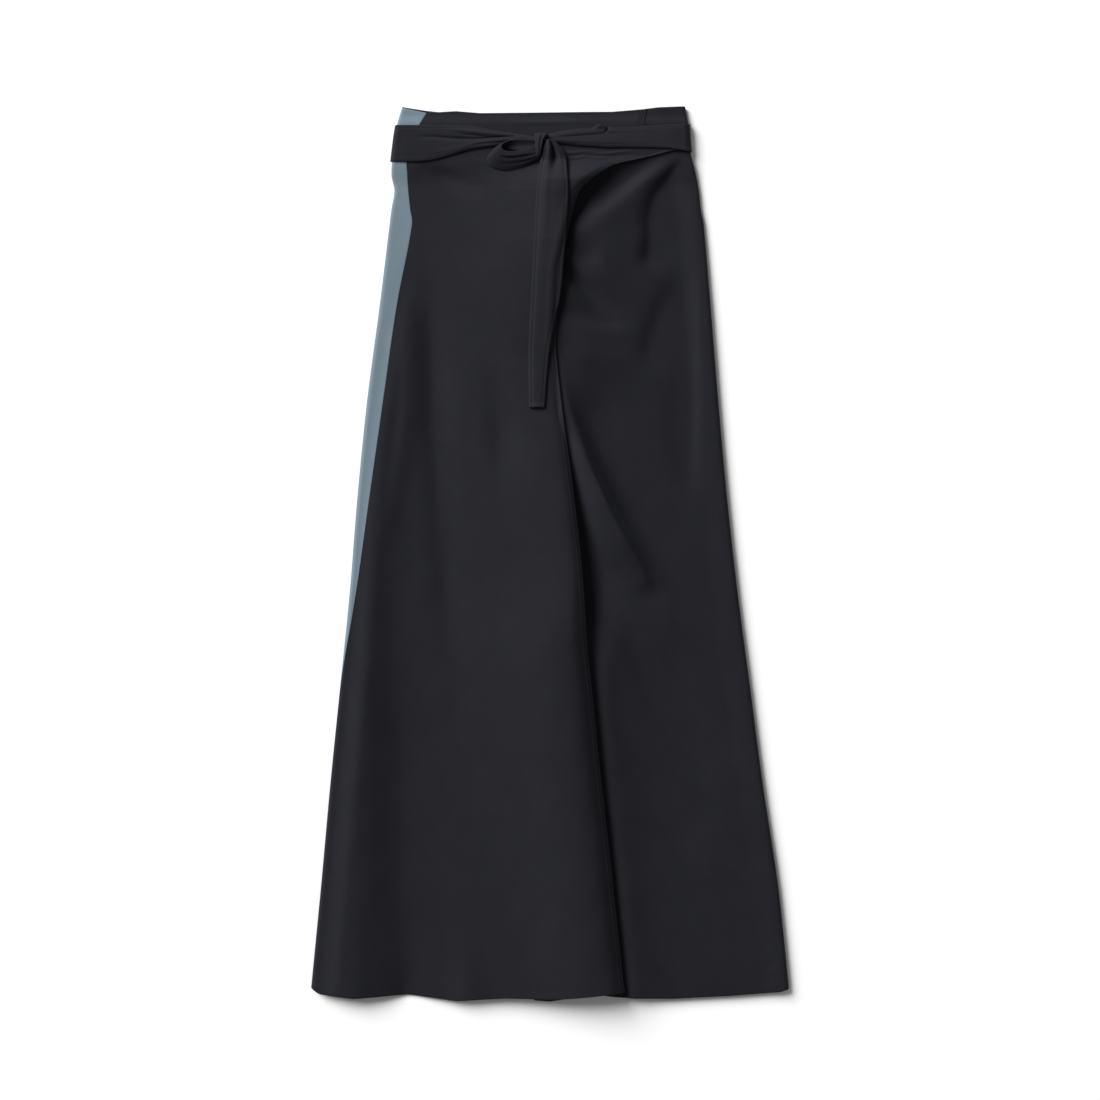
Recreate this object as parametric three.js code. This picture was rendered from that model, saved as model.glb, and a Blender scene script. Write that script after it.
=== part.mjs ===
// A long wrap skirt with its own tie belt, laid flat.
// Millimetres, +Z up, +Y towards the waist. The origin is on the surface, under the middle of the outline.
import * as THREE from 'three';

// Driving sizes
const clothWall = 1.2;
const facingWall = 1.0;
const tieWall = 1.6;
const seamGap = 0.3;
const foldSeamGap = 0.4;
const waistTurn = 2.4;
const hipTurn = 3.4;
const layerStep = 2.1;
const seamUnder = 14;
const wingUnder = 16;
const facingDepth = 27;
const sideBlend = 26;
const leastStep = 0.7;
const turnColumns = [-1, -0.5, 0, 0.5, 1];

// How the drape eases: how far the lifted free edge pulls up the cloth behind it, how far the folds
// of the under front run in under that edge, and the lowest that its middle lies.
const edgeReach = 55;
// The lifted edge rolls over: its crest lies behind it, closer at the upper level than at the lower
// one, and falls to the edge within this many times that distance.
const edgeRoll = { upper: 9, lower: 26, upperLevel: -20, lowerLevel: -130, upperFall: 2.2, lowerFall: 1.2 };
const coveredReach = 34;
const edgeMargin = 2;
const lowestUnder = 2.4;
const drapeClearance = 0.5;
const foldRounding = 2.2;
const restRounding = 0.4;
// The over front comes down on the back over this stretch, left of the under front's own edge.
const edgeRun = { start: -70, end: 8 };
// The folds die out between these levels, where the tie holds the cloth flat.
const heldFlat = { below: 382, above: 416 };
// The side folds turn more tightly towards the waist, between these levels.
const turnTightens = { below: 200, above: 380 };
// The over front lies on the under front to the right of this stretch.
const stepUp = { start: -30, end: 40 };
const rowTop = 456;
const rowHem = -456;
const waistBend = 10;
const hemBend = 90;
const outlineCentre = { x: 0.05, y: 0.11 };

// How far the middle of the tie lies from the middle of the cloth it passes over.
const tieStep = clothWall / 2 + seamGap + tieWall / 2;
// The back panel rises over the strip of tie that passes under it.
const tieLift = tieWall + seamGap;
const tieBand = { low: 403, high: 443, rampBelow: 25, rampAbove: 9 };
const tieMiddle = 420;

// The laid outline: left and right fold at each level, and how far in from the left fold the
// front seam lies, measured round the cloth. A negative inset is a seam on the underside.
const levels = [
  { y: 461, left: -152, right: 139, inset: 29 },
  { y: 443, left: -157, right: 142, inset: 24 },
  { y: 416, left: -161, right: 144, inset: 15 },
  { y: 391, left: -163, right: 150, inset: 17 },
  { y: 375, left: -160, right: 153, inset: 15 },
  { y: 356, left: -163, right: 155, inset: 20 },
  { y: 340, left: -165, right: 158, inset: 24 },
  { y: 258, left: -175, right: 165, inset: 19 },
  { y: 159, left: -188, right: 173, inset: 18 },
  { y: 60, left: -198, right: 182, inset: 14 },
  { y: -39, left: -206, right: 193, inset: 8 },
  { y: -138, left: -216, right: 206, inset: 1 },
  { y: -237, left: -226, right: 219, inset: -4 },
  { y: -336, left: -235, right: 234, inset: -8 },
  { y: -398, left: -241, right: 241, inset: -11 },
  { y: -449, left: -246, right: 246, inset: -14 },
];

// The waist edge of each layer, from left to right.
const waistEdge = [
  { x: -154, front: 460, back: 461 },
  { x: -127, front: 455, back: 457 },
  { x: -97, front: 456, back: 454 },
  { x: -72, front: 454, back: 453 },
  { x: 64, front: 455, back: 453 },
  { x: 89, front: 457, back: 455 },
  { x: 113, front: 460, back: 458 },
  { x: 139, front: 461, back: 460 },
];

// The hem of each layer, from left to right.
const hemEdge = [
  { x: -246, over: -447, under: -447, back: -447 },
  { x: -238, over: -453, under: -453, back: -451 },
  { x: -202, over: -457, under: -457, back: -454 },
  { x: -146, over: -454, under: -455, back: -453 },
  { x: -97, over: -460, under: -457, back: -455 },
  { x: -47, over: -457, under: -458, back: -455 },
  { x: 0, over: -457, under: -461, back: -457 },
  { x: 26, over: -455, under: -457, back: -455 },
  { x: 52, over: -452, under: -454, back: -452 },
  { x: 82, over: -449, under: -457, back: -454 },
  { x: 126, over: -449, under: -458, back: -455 },
  { x: 187, over: -449, under: -455, back: -452 },
  { x: 237, over: -449, under: -451, back: -448 },
  { x: 246, over: -449, under: -448, back: -446 },
];

// The over front, a row of cloth for each line: where the row leaves the front seam, where it
// ends on the free edge, and how far that edge stands off the cloth under it.
const freeEdge = [
  { from: 456, x: 99, y: 457, rise: 0 },
  { from: 445, x: 98, y: 441, rise: 0 },
  { from: 436, x: 112, y: 433, rise: 0 },
  { from: 427, x: 128, y: 425, rise: 0 },
  { from: 418, x: 133, y: 418, rise: 0.5 },
  { from: 408, x: 123, y: 415, rise: 2 },
  { from: 401, x: 108, y: 411, rise: 5 },
  { from: 394, x: 91, y: 407, rise: 8 },
  { from: 386, x: 77, y: 404, rise: 10 },
  { from: 376, x: 64, y: 400, rise: 12 },
  { from: 364, x: 52, y: 393, rise: 13 },
  { from: 350, x: 41, y: 385, rise: 14 },
  { from: 336, x: 31, y: 375, rise: 14 },
  { from: 322, x: 26, y: 365, rise: 13 },
  { from: 306, x: 22, y: 351, rise: 11 },
  { from: 282, x: 18, y: 323, rise: 10 },
  { from: 256, x: 10, y: 293, rise: 10 },
  { from: 210, x: 7, y: 231, rise: 11 },
  { from: 186, x: 8, y: 206, rise: 11 },
  { from: 130, x: 18, y: 143, rise: 12 },
  { from: 85, x: 24, y: 95, rise: 13 },
  { from: 38, x: 30, y: 46, rise: 14 },
  { from: -8, x: 33, y: -2, rise: 14 },
  { from: -50, x: 34.5, y: -47, rise: 14 },
  { from: -92, x: 37, y: -90, rise: 13 },
  { from: -128, x: 41, y: -127, rise: 12 },
  { from: -217, x: 50, y: -217, rise: 10 },
  { from: -308, x: 60.5, y: -308, rise: 9 },
  { from: -420, x: 72.5, y: -420, rise: 8 },
  { from: -456, x: 76, y: -449, rise: 7 },
];
const firstOpenRow = 5;

// The under front's own free edge, hidden by the over front.
const underEdge = [
  { y: 461, x: -40 },
  { y: -461, x: -16 },
];

// Main folds of the under front, each along its own line. Left and right are the half widths on
// either side of the line's direction, and a negative rise is a trough.
const underFolds = [
  { name: 'swell along the free edge', rise: 11, left: 68, right: 30,
    line: [[70, 500], [48, 370], [22, 280], [14, 200], [24, 120], [42, 0], [52, -90], [62, -170],
      [76, -340], [92, -640]] },
  { name: 'ridge from the tie', rise: 4, left: 8, right: 15,
    line: [[25, 334], [54, 352], [79, 369], [104, 389], [129, 408]] },
  { name: 'hollow under the edge', rise: -10, left: 10, right: 9,
    line: [[21, 344], [36, 364], [56, 380], [80, 394], [108, 408]] },
  { name: 'fold from the right', rise: -13, left: 11, right: 8,
    line: [[138, 410], [135, 397], [123, 380], [108, 364], [100, 346], [102, 326], [90, 298]] },
  { name: 'first swag', rise: -12, left: 12, right: 13,
    line: [[8, 340], [22, 314], [40, 305], [66, 312], [78, 322]] },
  { name: 'second swag', rise: -11, left: 8, right: 9,
    line: [[0, 300], [24, 282], [40, 271], [56, 258], [66, 246]] },
  { name: 'smile hollow', rise: -6, left: 18, right: 10,
    line: [[20, 264], [44, 246], [64, 243], [90, 254]] },
  { name: 'smile', rise: 2.5, left: 8, right: 20,
    line: [[14, 240], [35, 224], [57, 219], [77, 226], [98, 242]] },
  { name: 'side dimple', rise: -7, left: 20, right: 9,
    line: [[122, 280], [115, 244], [107, 214], [95, 182]] },
  { name: 'long swag', rise: -6, left: 26, right: 8,
    line: [[5, 246], [18, 182], [37, 126], [52, 87], [64, 56], [78, 28], [93, 4], [114, -36]] },
  { name: 'lip of the long swag', rise: 11, left: 14, right: 9,
    line: [[20, 152], [41, 92], [52, 66], [64, 35], [77, 9], [104, -42]] },
  { name: 'under the long swag', rise: 4, left: 22, right: 20,
    line: [[52, -24], [81, -52], [117, -78], [156, -76]] },
  { name: 'hollow by the edge', rise: -10, left: 16, right: 12,
    line: [[20, 160], [33, 70], [42, -10], [50, -90], [58, -170]] },
  { name: 'low hollow by the edge', rise: -6, left: 13, right: 11,
    line: [[54, -120], [63, -217], [73, -310], [85, -430], [92, -500]] },
  { name: 'knee trough', rise: -6, left: 34, right: 15,
    line: [[84, -100], [113, -150], [149, -205], [168, -250]] },
  { name: 'low trough', rise: -5, left: 34, right: 17,
    line: [[90, -228], [131, -280], [174, -340]] },
  { name: 'side crease', rise: -6, left: 9, right: 18,
    line: [[139, 396], [142, 311], [142, 246], [144, 169], [142, 92], [144, 10]] },
];

// Main folds of the over front.
const overFolds = [
  { name: 'middle swell', rise: 5, left: 60, right: 66,
    line: [[-76, 350], [-64, 100], [-62, -150], [-52, -450], [-48, -560]] },
  { name: 'long trough', rise: -5, left: 21, right: 13,
    line: [[-138, 300], [-131, 176], [-118, 55], [-106, -36], [-96, -150]] },
  { name: 'seam trough', rise: -3, left: 11, right: 10,
    line: [[-150, 225], [-168, 101], [-186, -15]] },
  { name: 'low left swell', rise: 9, left: 36, right: 14,
    line: [[-190, 110], [-200, 0], [-203, -190], [-206, -400], [-208, -640]] },
  { name: 'centre trough', rise: -3, left: 19, right: 14,
    line: [[-60, 225], [-50, 120], [-44, 30]] },
  { name: 'under the left wing', rise: -4, left: 8, right: 12,
    line: [[-144, 400], [-124, 395], [-104, 388], [-80, 376]] },
  { name: 'hem wave', rise: 4, left: 18, right: 18,
    line: [[-90, -320], [-86, -400], [-88, -462], [-88, -520]] },
];
// A fold dies out over this share of its line, which ends this far into that fade.
const foldFade = 0.22;
const foldOverrun = 0.12;

// The tie's wings: top and bottom edge as they cross the front, and how much they crumple up.
const leftWing = [
  { x: -164, top: 441, bottom: 405, crumple: 0 },
  { x: -134, top: 441, bottom: 405, crumple: 0.2 },
  { x: -113, top: 441, bottom: 408, crumple: 0.5 },
  { x: -82, top: 440, bottom: 417, crumple: 1.2 },
  { x: -52, top: 434, bottom: 422, crumple: 1.6 },
  { x: -35, top: 431, bottom: 423, crumple: 1.6 },
  { x: -11.6, top: 428, bottom: 423, crumple: 0.4 },
];
const rightWing = [
  { x: -8.6, top: 430, bottom: 425, crumple: 0.4 },
  { x: 10, top: 434, bottom: 423, crumple: 1.2 },
  { x: 31, top: 437, bottom: 420.5, crumple: 1.2 },
  { x: 59, top: 439, bottom: 419, crumple: 0.8 },
  { x: 93, top: 439, bottom: 419, crumple: 0.4 },
  { x: 123, top: 441, bottom: 418, crumple: 0.1 },
  { x: 148, top: 442, bottom: 414, crumple: 0 },
];

// The knot, a section for each level.
const knotSeat = 11.3;
const knotSections = [
  { y: 436, x: -7, half: 3.5, height: 3 },
  { y: 433, x: -8.6, half: 7, height: 6 },
  { y: 428, x: -9.4, half: 7.4, height: 7.5 },
  { y: 421, x: -10, half: 5.6, height: 7.5 },
  { y: 414, x: -10.8, half: 3.6, height: 6.5 },
  { y: 409, x: -11.3, half: 1.6, height: 4.5 },
];

// The drooping loop, a point for each place along the strap.
const loopPath = [
  { x: -17.4, y: 423, z: 13.6, half: 2.8 },
  { x: -28, y: 423.5, z: 13.4, half: 3.4 },
  { x: -41, y: 422, z: 13, half: 4.4 },
  { x: -52, y: 417, z: 12.4, half: 5.8 },
  { x: -57.5, y: 408, z: 11.4, half: 7 },
  { x: -50, y: 401.5, z: 10.8, half: 7 },
  { x: -37, y: 401.5, z: 10.8, half: 6.6 },
  { x: -25, y: 404.5, z: 11.2, half: 5.2 },
  { x: -15.4, y: 409, z: 12, half: 2.6 },
];

// The free end, a pair of edges for each level.
const tailEdges = [
  { y: 423, left: -3.2, right: 3, stand: 4.2 },
  { y: 416, left: -5, right: 13, stand: 3.6 },
  { y: 406, left: -9, right: 16.5, stand: 2.2 },
  { y: 396, left: -11, right: 17, stand: 1 },
  { y: 380, left: -13, right: 18, stand: 0.3 },
  { y: 365, left: -14, right: 18, stand: 0 },
  { y: 303, left: -17, right: 13, stand: 0 },
  { y: 262, left: -19, right: 10, stand: 0 },
  { y: 250, left: -20, right: 6, stand: 0 },
  { y: 210, left: -22, right: -1, stand: 0 },
  { y: 179, left: -21.5, right: -4, stand: 0 },
  { y: 151, left: -21, right: -6, stand: 0 },
];

// Finishes
const navyCloth = { color: 0x28292e, roughness: 0.62, metalness: 0 };
const blueCloth = { color: 0x78878f, roughness: 0.7, metalness: 0 };
const tieCloth = { color: 0x2b2c31, roughness: 0.6, metalness: 0 };

// Curves through the tables

function smoothStep(low, high, value) {
  const t = Math.min(Math.max((value - low) / (high - low), 0), 1);
  return t * t * (3 - 2 * t);
}

// A smooth curve through one column of a table, at a place given in table rows.
function columnAtRow(table, column, place) {
  const last = table.length - 1;
  const row = Math.min(Math.max(Math.floor(place), 0), last - 1);
  const t = place - row;
  const value = (index) => table[Math.min(Math.max(index, 0), last)][column];
  const [before, start, end, after] = [value(row - 1), value(row), value(row + 1), value(row + 2)];
  const leave = (end - before) / 2;
  const arrive = (after - start) / 2;
  const t2 = t * t;
  const t3 = t2 * t;
  return start * (2 * t3 - 3 * t2 + 1) + leave * (t3 - 2 * t2 + t)
    + end * (3 * t2 - 2 * t3) + arrive * (t3 - t2);
}

// The place in a table, counted in rows, where its key column has this value.
function placeOf(table, key, value) {
  const rising = table[table.length - 1][key] > table[0][key] ? 1 : -1;
  let row = 0;
  while (row < table.length - 2 && rising * (value - table[row + 1][key]) > 0) {
    row += 1;
  }
  const start = table[row][key];
  const t = (value - start) / (table[row + 1][key] - start);
  return row + Math.min(Math.max(t, 0), 1);
}

// Straight between rows, which keeps unevenly spaced rows from swinging.
function straight(table, key, column, value) {
  const place = placeOf(table, key, value);
  const row = Math.min(Math.floor(place), table.length - 2);
  const t = place - row;
  return table[row][column] * (1 - t) + table[row + 1][column] * t;
}

// Slopes at the rows are measured in the key, so the curve is smooth on uneven rows too.
function curve(table, key, column, value) {
  const place = placeOf(table, key, value);
  const last = table.length - 1;
  const row = Math.min(Math.floor(place), last - 1);
  const slope = (index) => {
    const a = table[Math.max(index - 1, 0)];
    const b = table[Math.min(index + 1, last)];
    return (b[column] - a[column]) / (b[key] - a[key]);
  };
  const span = table[row + 1][key] - table[row][key];
  const t = place - row;
  const t2 = t * t;
  const t3 = t2 * t;
  return table[row][column] * (2 * t3 - 3 * t2 + 1) + slope(row) * span * (t3 - 2 * t2 + t)
    + table[row + 1][column] * (3 * t2 - 2 * t3) + slope(row + 1) * span * (t3 - t2);
}

// Heights of the laid layers

function lift(y) {
  const up = smoothStep(tieBand.low - tieBand.rampBelow, tieBand.low, y);
  const down = 1 - smoothStep(tieBand.high, tieBand.high + tieBand.rampAbove, y);
  return tieLift * Math.min(up, down);
}

function turnRadius(y) {
  const tight = smoothStep(turnTightens.below, turnTightens.above, y);
  return hipTurn + (waistTurn - hipTurn) * tight;
}

function looseness(y) {
  return 1 - smoothStep(heldFlat.below, heldFlat.above, y);
}

// One fold's height: a soft ridge or trough along its line, dying out at both ends.
function foldHeight(fold, x, y) {
  const line = fold.line;
  let best = Infinity;
  let along = 0;
  let side = 0;
  for (let i = 0; i < line.length - 1; i += 1) {
    const [ax, ay] = line[i];
    const dx = line[i + 1][0] - ax;
    const dy = line[i + 1][1] - ay;
    const t = Math.min(Math.max(((x - ax) * dx + (y - ay) * dy) / (dx * dx + dy * dy), 0), 1);
    const awayX = x - ax - t * dx;
    const awayY = y - ay - t * dy;
    const distance = Math.hypot(awayX, awayY);
    if (distance < best) {
      best = distance;
      along = (i + t) / (line.length - 1);
      side = (dx * awayY - dy * awayX) / Math.hypot(dx, dy);
    }
  }
  const width = fold.right + (fold.left - fold.right) * smoothStep(-1, 1, side);
  const starts = smoothStep(-foldOverrun, foldFade, along);
  const ends = 1 - smoothStep(1 - foldFade, 1 + foldOverrun, along);
  return fold.rise * Math.exp(-((best / width) ** 2)) * starts * ends;
}

function foldsHeight(folds, x, y) {
  return folds.reduce((sum, fold) => sum + foldHeight(fold, x, y), 0);
}

const openEdge = freeEdge.slice(firstOpenRow);

function freeEdgeX(y) {
  return straight(openEdge, 'y', 'x', y);
}

// The larger of two heights, rounded where they cross.
function roundedMax(a, b, round) {
  const d = a - b;
  return (a + b + Math.sqrt(d * d + round * round)) / 2;
}

// How high the two fronts lie where nothing lifts them: the over front steps up on the under front.
function overRest(x) {
  return clothWall / 2 + 2 * waistTurn + layerStep * smoothStep(stepUp.start, stepUp.end, x);
}

function towardsFold(distance, foldTop, height) {
  return foldTop + (height - foldTop) * smoothStep(0, sideBlend, distance);
}

function underHeight(x, y) {
  const bare = smoothStep(-coveredReach, edgeMargin, x - freeEdgeX(y));
  const folds = foldsHeight(underFolds, x, y) * looseness(y) * bare;
  const free = roundedMax(overRest(x) - layerStep + folds, lowestUnder, foldRounding);
  const foldTop = clothWall / 2 + 2 * turnRadius(y);
  const inFromFold = curve(levels, 'y', 'right', y) - turnRadius(y) - x;
  return towardsFold(inFromFold, foldTop, free) + lift(y);
}

function overHeight(x, y) {
  const low = 1 - smoothStep(edgeRoll.lowerLevel, edgeRoll.upperLevel, y);
  const crest = edgeRoll.upper + (edgeRoll.lower - edgeRoll.upper) * low;
  const fall = crest * (edgeRoll.upperFall + (edgeRoll.lowerFall - edgeRoll.upperFall) * low);
  const behindCrest = freeEdgeX(y) - x - crest;
  const reach = behindCrest > 0 ? edgeReach : fall;
  const pulledUp = looseness(y) * Math.exp(-((behindCrest / reach) ** 2));
  const rise = straight(openEdge, 'y', 'rise', y) * pulledUp;
  const wanted = overRest(x) + foldsHeight(overFolds, x, y) * looseness(y) + rise;
  const foldTop = clothWall / 2 + 2 * turnRadius(y);
  const inFromFold = x - curve(levels, 'y', 'left', y) - turnRadius(y);
  const blended = towardsFold(inFromFold, foldTop, wanted) + lift(y);
  const pastUnderEdge = smoothStep(edgeRun.start, edgeRun.end, x - straight(underEdge, 'y', 'x', y));
  const onUnder = underHeight(x, y) + layerStep + drapeClearance * looseness(y);
  const onBack = clothWall * 1.5 + seamGap + lift(y);
  const clear = onBack + (onUnder - onBack) * pastUnderEdge;
  return roundedMax(blended, clear, restRounding * looseness(y));
}

// A sheet is cloth that turns under at one side fold. Its places are counted round the cloth from
// the fold, positive on the front. This is the middle of the cloth there, moved out by a stand-off.
function offSheet(sheet, round, y, stand) {
  const radius = turnRadius(y);
  const quarter = Math.PI * radius / 2;
  const fold = curve(levels, 'y', sheet.column, y);
  const angle = Math.min(Math.max(round / radius, -Math.PI / 2), Math.PI / 2);
  const beyond = Math.max(Math.abs(round) - quarter, 0);
  const x = fold - sheet.side * (radius * (1 - Math.cos(angle)) + beyond);
  const point = new THREE.Vector3(x, y, clothWall / 2 + radius * (1 + Math.sin(angle)) + lift(y));
  const normal = new THREE.Vector3(sheet.side * Math.cos(angle), 0, Math.sin(angle));
  if (round > quarter) {
    const reach = 0.5;
    point.z = sheet.height(x, y);
    normal.x = (sheet.height(x - reach, y) - sheet.height(x + reach, y)) / (2 * reach);
    normal.y = (sheet.height(x, y - reach) - sheet.height(x, y + reach)) / (2 * reach);
    normal.z = 1;
    normal.normalize();
  }
  return { point: point.addScaledVector(normal, stand), normal };
}

function roundOf(sheet, x, y) {
  const radius = turnRadius(y);
  const fold = curve(levels, 'y', sheet.column, y);
  return Math.abs(fold - x) - radius + Math.PI * radius / 2;
}

const leftSheet = { side: -1, column: 'left', height: overHeight };
const rightSheet = { side: 1, column: 'right', height: underHeight };

// Solids

// Closes a grid of cloth, given as places with a point and the way out of the cloth, into a wall.
function wallGeometry(columns, rows, wall, place) {
  const positions = [];
  for (const sign of [1, -1]) {
    for (let row = 0; row <= rows; row += 1) {
      for (let column = 0; column <= columns; column += 1) {
        const { point, normal } = place(column, row);
        positions.push(...point.clone().addScaledVector(normal, sign * wall / 2).toArray());
      }
    }
  }
  const stride = columns + 1;
  const innerStart = stride * (rows + 1);
  const triangles = [];
  const quad = (a, b, c, d) => triangles.push([a, b, c], [a, c, d]);
  for (let row = 0; row < rows; row += 1) {
    for (let column = 0; column < columns; column += 1) {
      const a = row * stride + column;
      quad(a, a + stride, a + stride + 1, a + 1);
      quad(innerStart + a, innerStart + a + 1, innerStart + a + stride + 1, innerStart + a + stride);
    }
  }
  const rim = (a, b) => quad(b, a, a + innerStart, b + innerStart);
  for (let column = 0; column < columns; column += 1) {
    rim(column + 1, column);
    rim(rows * stride + column, rows * stride + column + 1);
  }
  for (let row = 0; row < rows; row += 1) {
    rim(row * stride, (row + 1) * stride);
    rim((row + 1) * stride + columns, row * stride + columns);
  }
  return closedGeometry(positions, triangles);
}

// Builds the geometry with every face pointing out.
function closedGeometry(positions, triangles) {
  const corner = (index) => new THREE.Vector3().fromArray(positions, index * 3);
  const volume = triangles.reduce((sum, [a, b, c]) => sum + corner(a).dot(corner(b).cross(corner(c))), 0);
  const facing = volume > 0 ? triangles : triangles.map(([a, b, c]) => [a, c, b]);
  const geometry = new THREE.BufferGeometry();
  geometry.setAttribute('position', new THREE.Float32BufferAttribute(positions, 3));
  geometry.setIndex(facing.flat());
  geometry.computeVertexNormals();
  return geometry;
}

function namedMesh(name, geometry, finish) {
  const mesh = new THREE.Mesh(geometry, new THREE.MeshStandardMaterial(finish));
  mesh.name = name;
  mesh.position.set(-outlineCentre.x, -outlineCentre.y, 0);
  return mesh;
}

// Row levels from the waist to the hem: fine where the cloth is draped, wider below.
function rowLevels(spans) {
  const list = [];
  let y = spans[0].from;
  for (const span of spans) {
    const count = Math.max(Math.round((y - span.to) / span.step), 1);
    const start = y;
    for (let i = 0; i < count; i += 1) {
      list.push(start + (span.to - start) * i / count);
    }
    y = span.to;
  }
  list.push(y);
  return list;
}

// Bends the first and last rows on to the waist edge and the hem.
function bendToEdges(y, x, top, hem) {
  const nearTop = smoothStep(rowTop - waistBend, rowTop, y);
  const nearHem = 1 - smoothStep(rowHem, rowHem + hemBend, y);
  return y + (straight(waistEdge, 'x', top, x) - rowTop) * nearTop
    + (straight(hemEdge, 'x', hem, x) - rowHem) * nearHem;
}

const panelRows = rowLevels([
  { from: rowTop, to: 452, step: 4 }, { to: 443, step: 9 }, { to: 403, step: 10 },
  { to: 240, step: 9 }, { to: -50, step: 15 }, { to: -250, step: 25 },
  { to: rowHem, step: 46 },
]);

// Each panel's columns go round its side fold, then on across to its far end. They stay at least a
// small step apart where the seam leaves no room for them.

// The back: from its seam under the right fold, across the underside, round the left fold to the
// front seam.
function backPanel() {
  const flatColumns = 6;
  const stripColumns = 3;
  const bendMargin = 8;
  const columns = flatColumns + turnColumns.length + stripColumns - 1;
  const roundAt = (column, y) => {
    const radius = turnRadius(y);
    const quarter = Math.PI * radius / 2;
    const width = curve(levels, 'y', 'right', y) - curve(levels, 'y', 'left', y);
    const seam = curve(levels, 'y', 'inset', y);
    const farEnd = seamUnder + seamGap + 2 * (radius - quarter) - width;
    let round;
    if (column < flatColumns) {
      round = farEnd + (-quarter - bendMargin - farEnd) * column / (flatColumns - 1);
    } else if (column < flatColumns + turnColumns.length) {
      round = turnColumns[column - flatColumns] * quarter;
    } else {
      const strip = column - flatColumns - turnColumns.length + 1;
      round = quarter + (seam - quarter) * strip / stripColumns;
    }
    return Math.min(round, seam - (columns - column) * leastStep);
  };
  const place = (column, row) => {
    const level = panelRows[row];
    const round = roundAt(column, level);
    const edge = round > 0 ? 'front' : 'back';
    const y = bendToEdges(level, offSheet(leftSheet, round, level, 0).point.x, edge, 'back');
    return offSheet(leftSheet, roundAt(column, y), y, 0);
  };
  return wallGeometry(columns, panelRows.length - 1, clothWall, place);
}

// The facing inside the back waist. Its columns lie closer towards the left, where it shows.
function backFacing() {
  const columns = 8;
  const closeness = 1.4;
  const inset = { left: 4.5, right: 9 };
  const standOff = clothWall / 2 + seamGap + facingWall / 2;
  const edgeDepth = 3;
  const rowYs = [rowTop - seamGap, rowTop - edgeDepth, tieBand.high, rowTop - facingDepth];
  const place = (column, row) => {
    const y = rowYs[row];
    const left = curve(levels, 'y', 'left', y) + inset.left;
    const right = curve(levels, 'y', 'right', y) - inset.right;
    const x = left + (right - left) * (column / columns) ** closeness;
    const bent = bendToEdges(y, x, 'back', 'back');
    const point = new THREE.Vector3(x, bent, clothWall / 2 + lift(y) + standOff);
    return { point, normal: new THREE.Vector3(0, 0, 1) };
  };
  return wallGeometry(columns, rowYs.length - 1, facingWall, place);
}

// The under front: from its hidden free edge to the right fold and round it to the back's seam.
function underFront() {
  const frontColumns = 29;
  const bendMargin = 5;
  const columns = frontColumns + turnColumns.length;
  const roundAt = (column, y) => {
    const quarter = Math.PI * turnRadius(y) / 2;
    const start = roundOf(rightSheet, straight(underEdge, 'y', 'x', y), y);
    if (column === columns) {
      return -seamUnder;
    }
    if (column < frontColumns) {
      return start + (quarter + bendMargin - start) * column / (frontColumns - 1);
    }
    return turnColumns[columns - 1 - column] * quarter;
  };
  const place = (column, row) => {
    const level = panelRows[row];
    const round = roundAt(column, level);
    const edge = round > 0 ? 'front' : 'back';
    const y = bendToEdges(level, offSheet(rightSheet, round, level, 0).point.x, edge, 'under');
    return offSheet(rightSheet, roundAt(column, y), y, 0);
  };
  return wallGeometry(columns, panelRows.length - 1, clothWall, place);
}

// The over front: from the front seam, which leaves the left fold low down and runs under it, to
// the curved free edge.
function overFront() {
  const frontColumns = 15;
  const bentRows = { top: 2, hem: 3 };
  const columns = frontColumns + turnColumns.length;
  const rows = panelRows.length - 1;
  const lastLine = freeEdge.length - 1;
  const place = (column, row) => {
    const line = placeOf(freeEdge, 'from', panelRows[row]);
    const fromY = panelRows[row];
    const endX = columnAtRow(freeEdge, 'x', line);
    const endY = columnAtRow(freeEdge, 'y', line);
    const quarter = Math.PI * turnRadius(fromY) / 2;
    const seam = curve(levels, 'y', 'inset', fromY) + foldSeamGap;
    const end = roundOf(leftSheet, endX, endY);
    let round;
    if (column < turnColumns.length) {
      round = turnColumns[column] * quarter;
    } else {
      round = quarter + (end - quarter) * (column - turnColumns.length + 1) / (frontColumns + 1);
    }
    round = Math.max(round, seam + column * leastStep);
    const t = (round - seam) / (end - seam);
    const y = fromY + (endY - fromY) * t;
    const x = offSheet(leftSheet, round, y, 0).point.x;
    const lineY = (index) => freeEdge[index].from * (1 - t) + freeEdge[index].y * t;
    const nearTop = 1 - smoothStep(0, bentRows.top, row);
    const nearHem = smoothStep(rows - bentRows.hem, rows, row);
    const topShift = (straight(waistEdge, 'x', 'front', x) - lineY(0)) * nearTop;
    const hemShift = (straight(hemEdge, 'x', 'over', x) - lineY(lastLine)) * nearHem;
    return offSheet(leftSheet, round, y + topShift + hemShift, 0);
  };
  return wallGeometry(columns, rows, clothWall, place);
}

// A wing of the tie, from under the side fold round to the front and on to the knot. Every other
// row of its cloth crumples up.
function wing(sheet, table, extraStand) {
  const columns = 16;
  const rows = 4;
  const knotEnd = sheet.side < 0 ? table[table.length - 1].x : table[0].x;
  const quarter = Math.PI * turnRadius(tieMiddle) / 2;
  const end = roundOf(sheet, knotEnd, tieMiddle);
  const turned = [-wingUnder, ...turnColumns.map((share) => share * quarter)];
  const place = (column, row) => {
    let round;
    if (column < turned.length) {
      round = turned[column];
    } else {
      round = quarter + (end - quarter) * (column - turned.length + 1) / (columns - turned.length + 1);
    }
    const x = offSheet(sheet, round, tieMiddle, 0).point.x;
    const top = straight(table, 'x', 'top', x);
    const bottom = straight(table, 'x', 'bottom', x);
    const y = top + (bottom - top) * row / rows;
    const crumple = round > quarter && row % 2 === 1 ? straight(table, 'x', 'crumple', x) : 0;
    return offSheet(sheet, round, y, tieStep + extraStand(round) + crumple);
  };
  return wallGeometry(columns, rows, tieWall, place);
}

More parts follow.
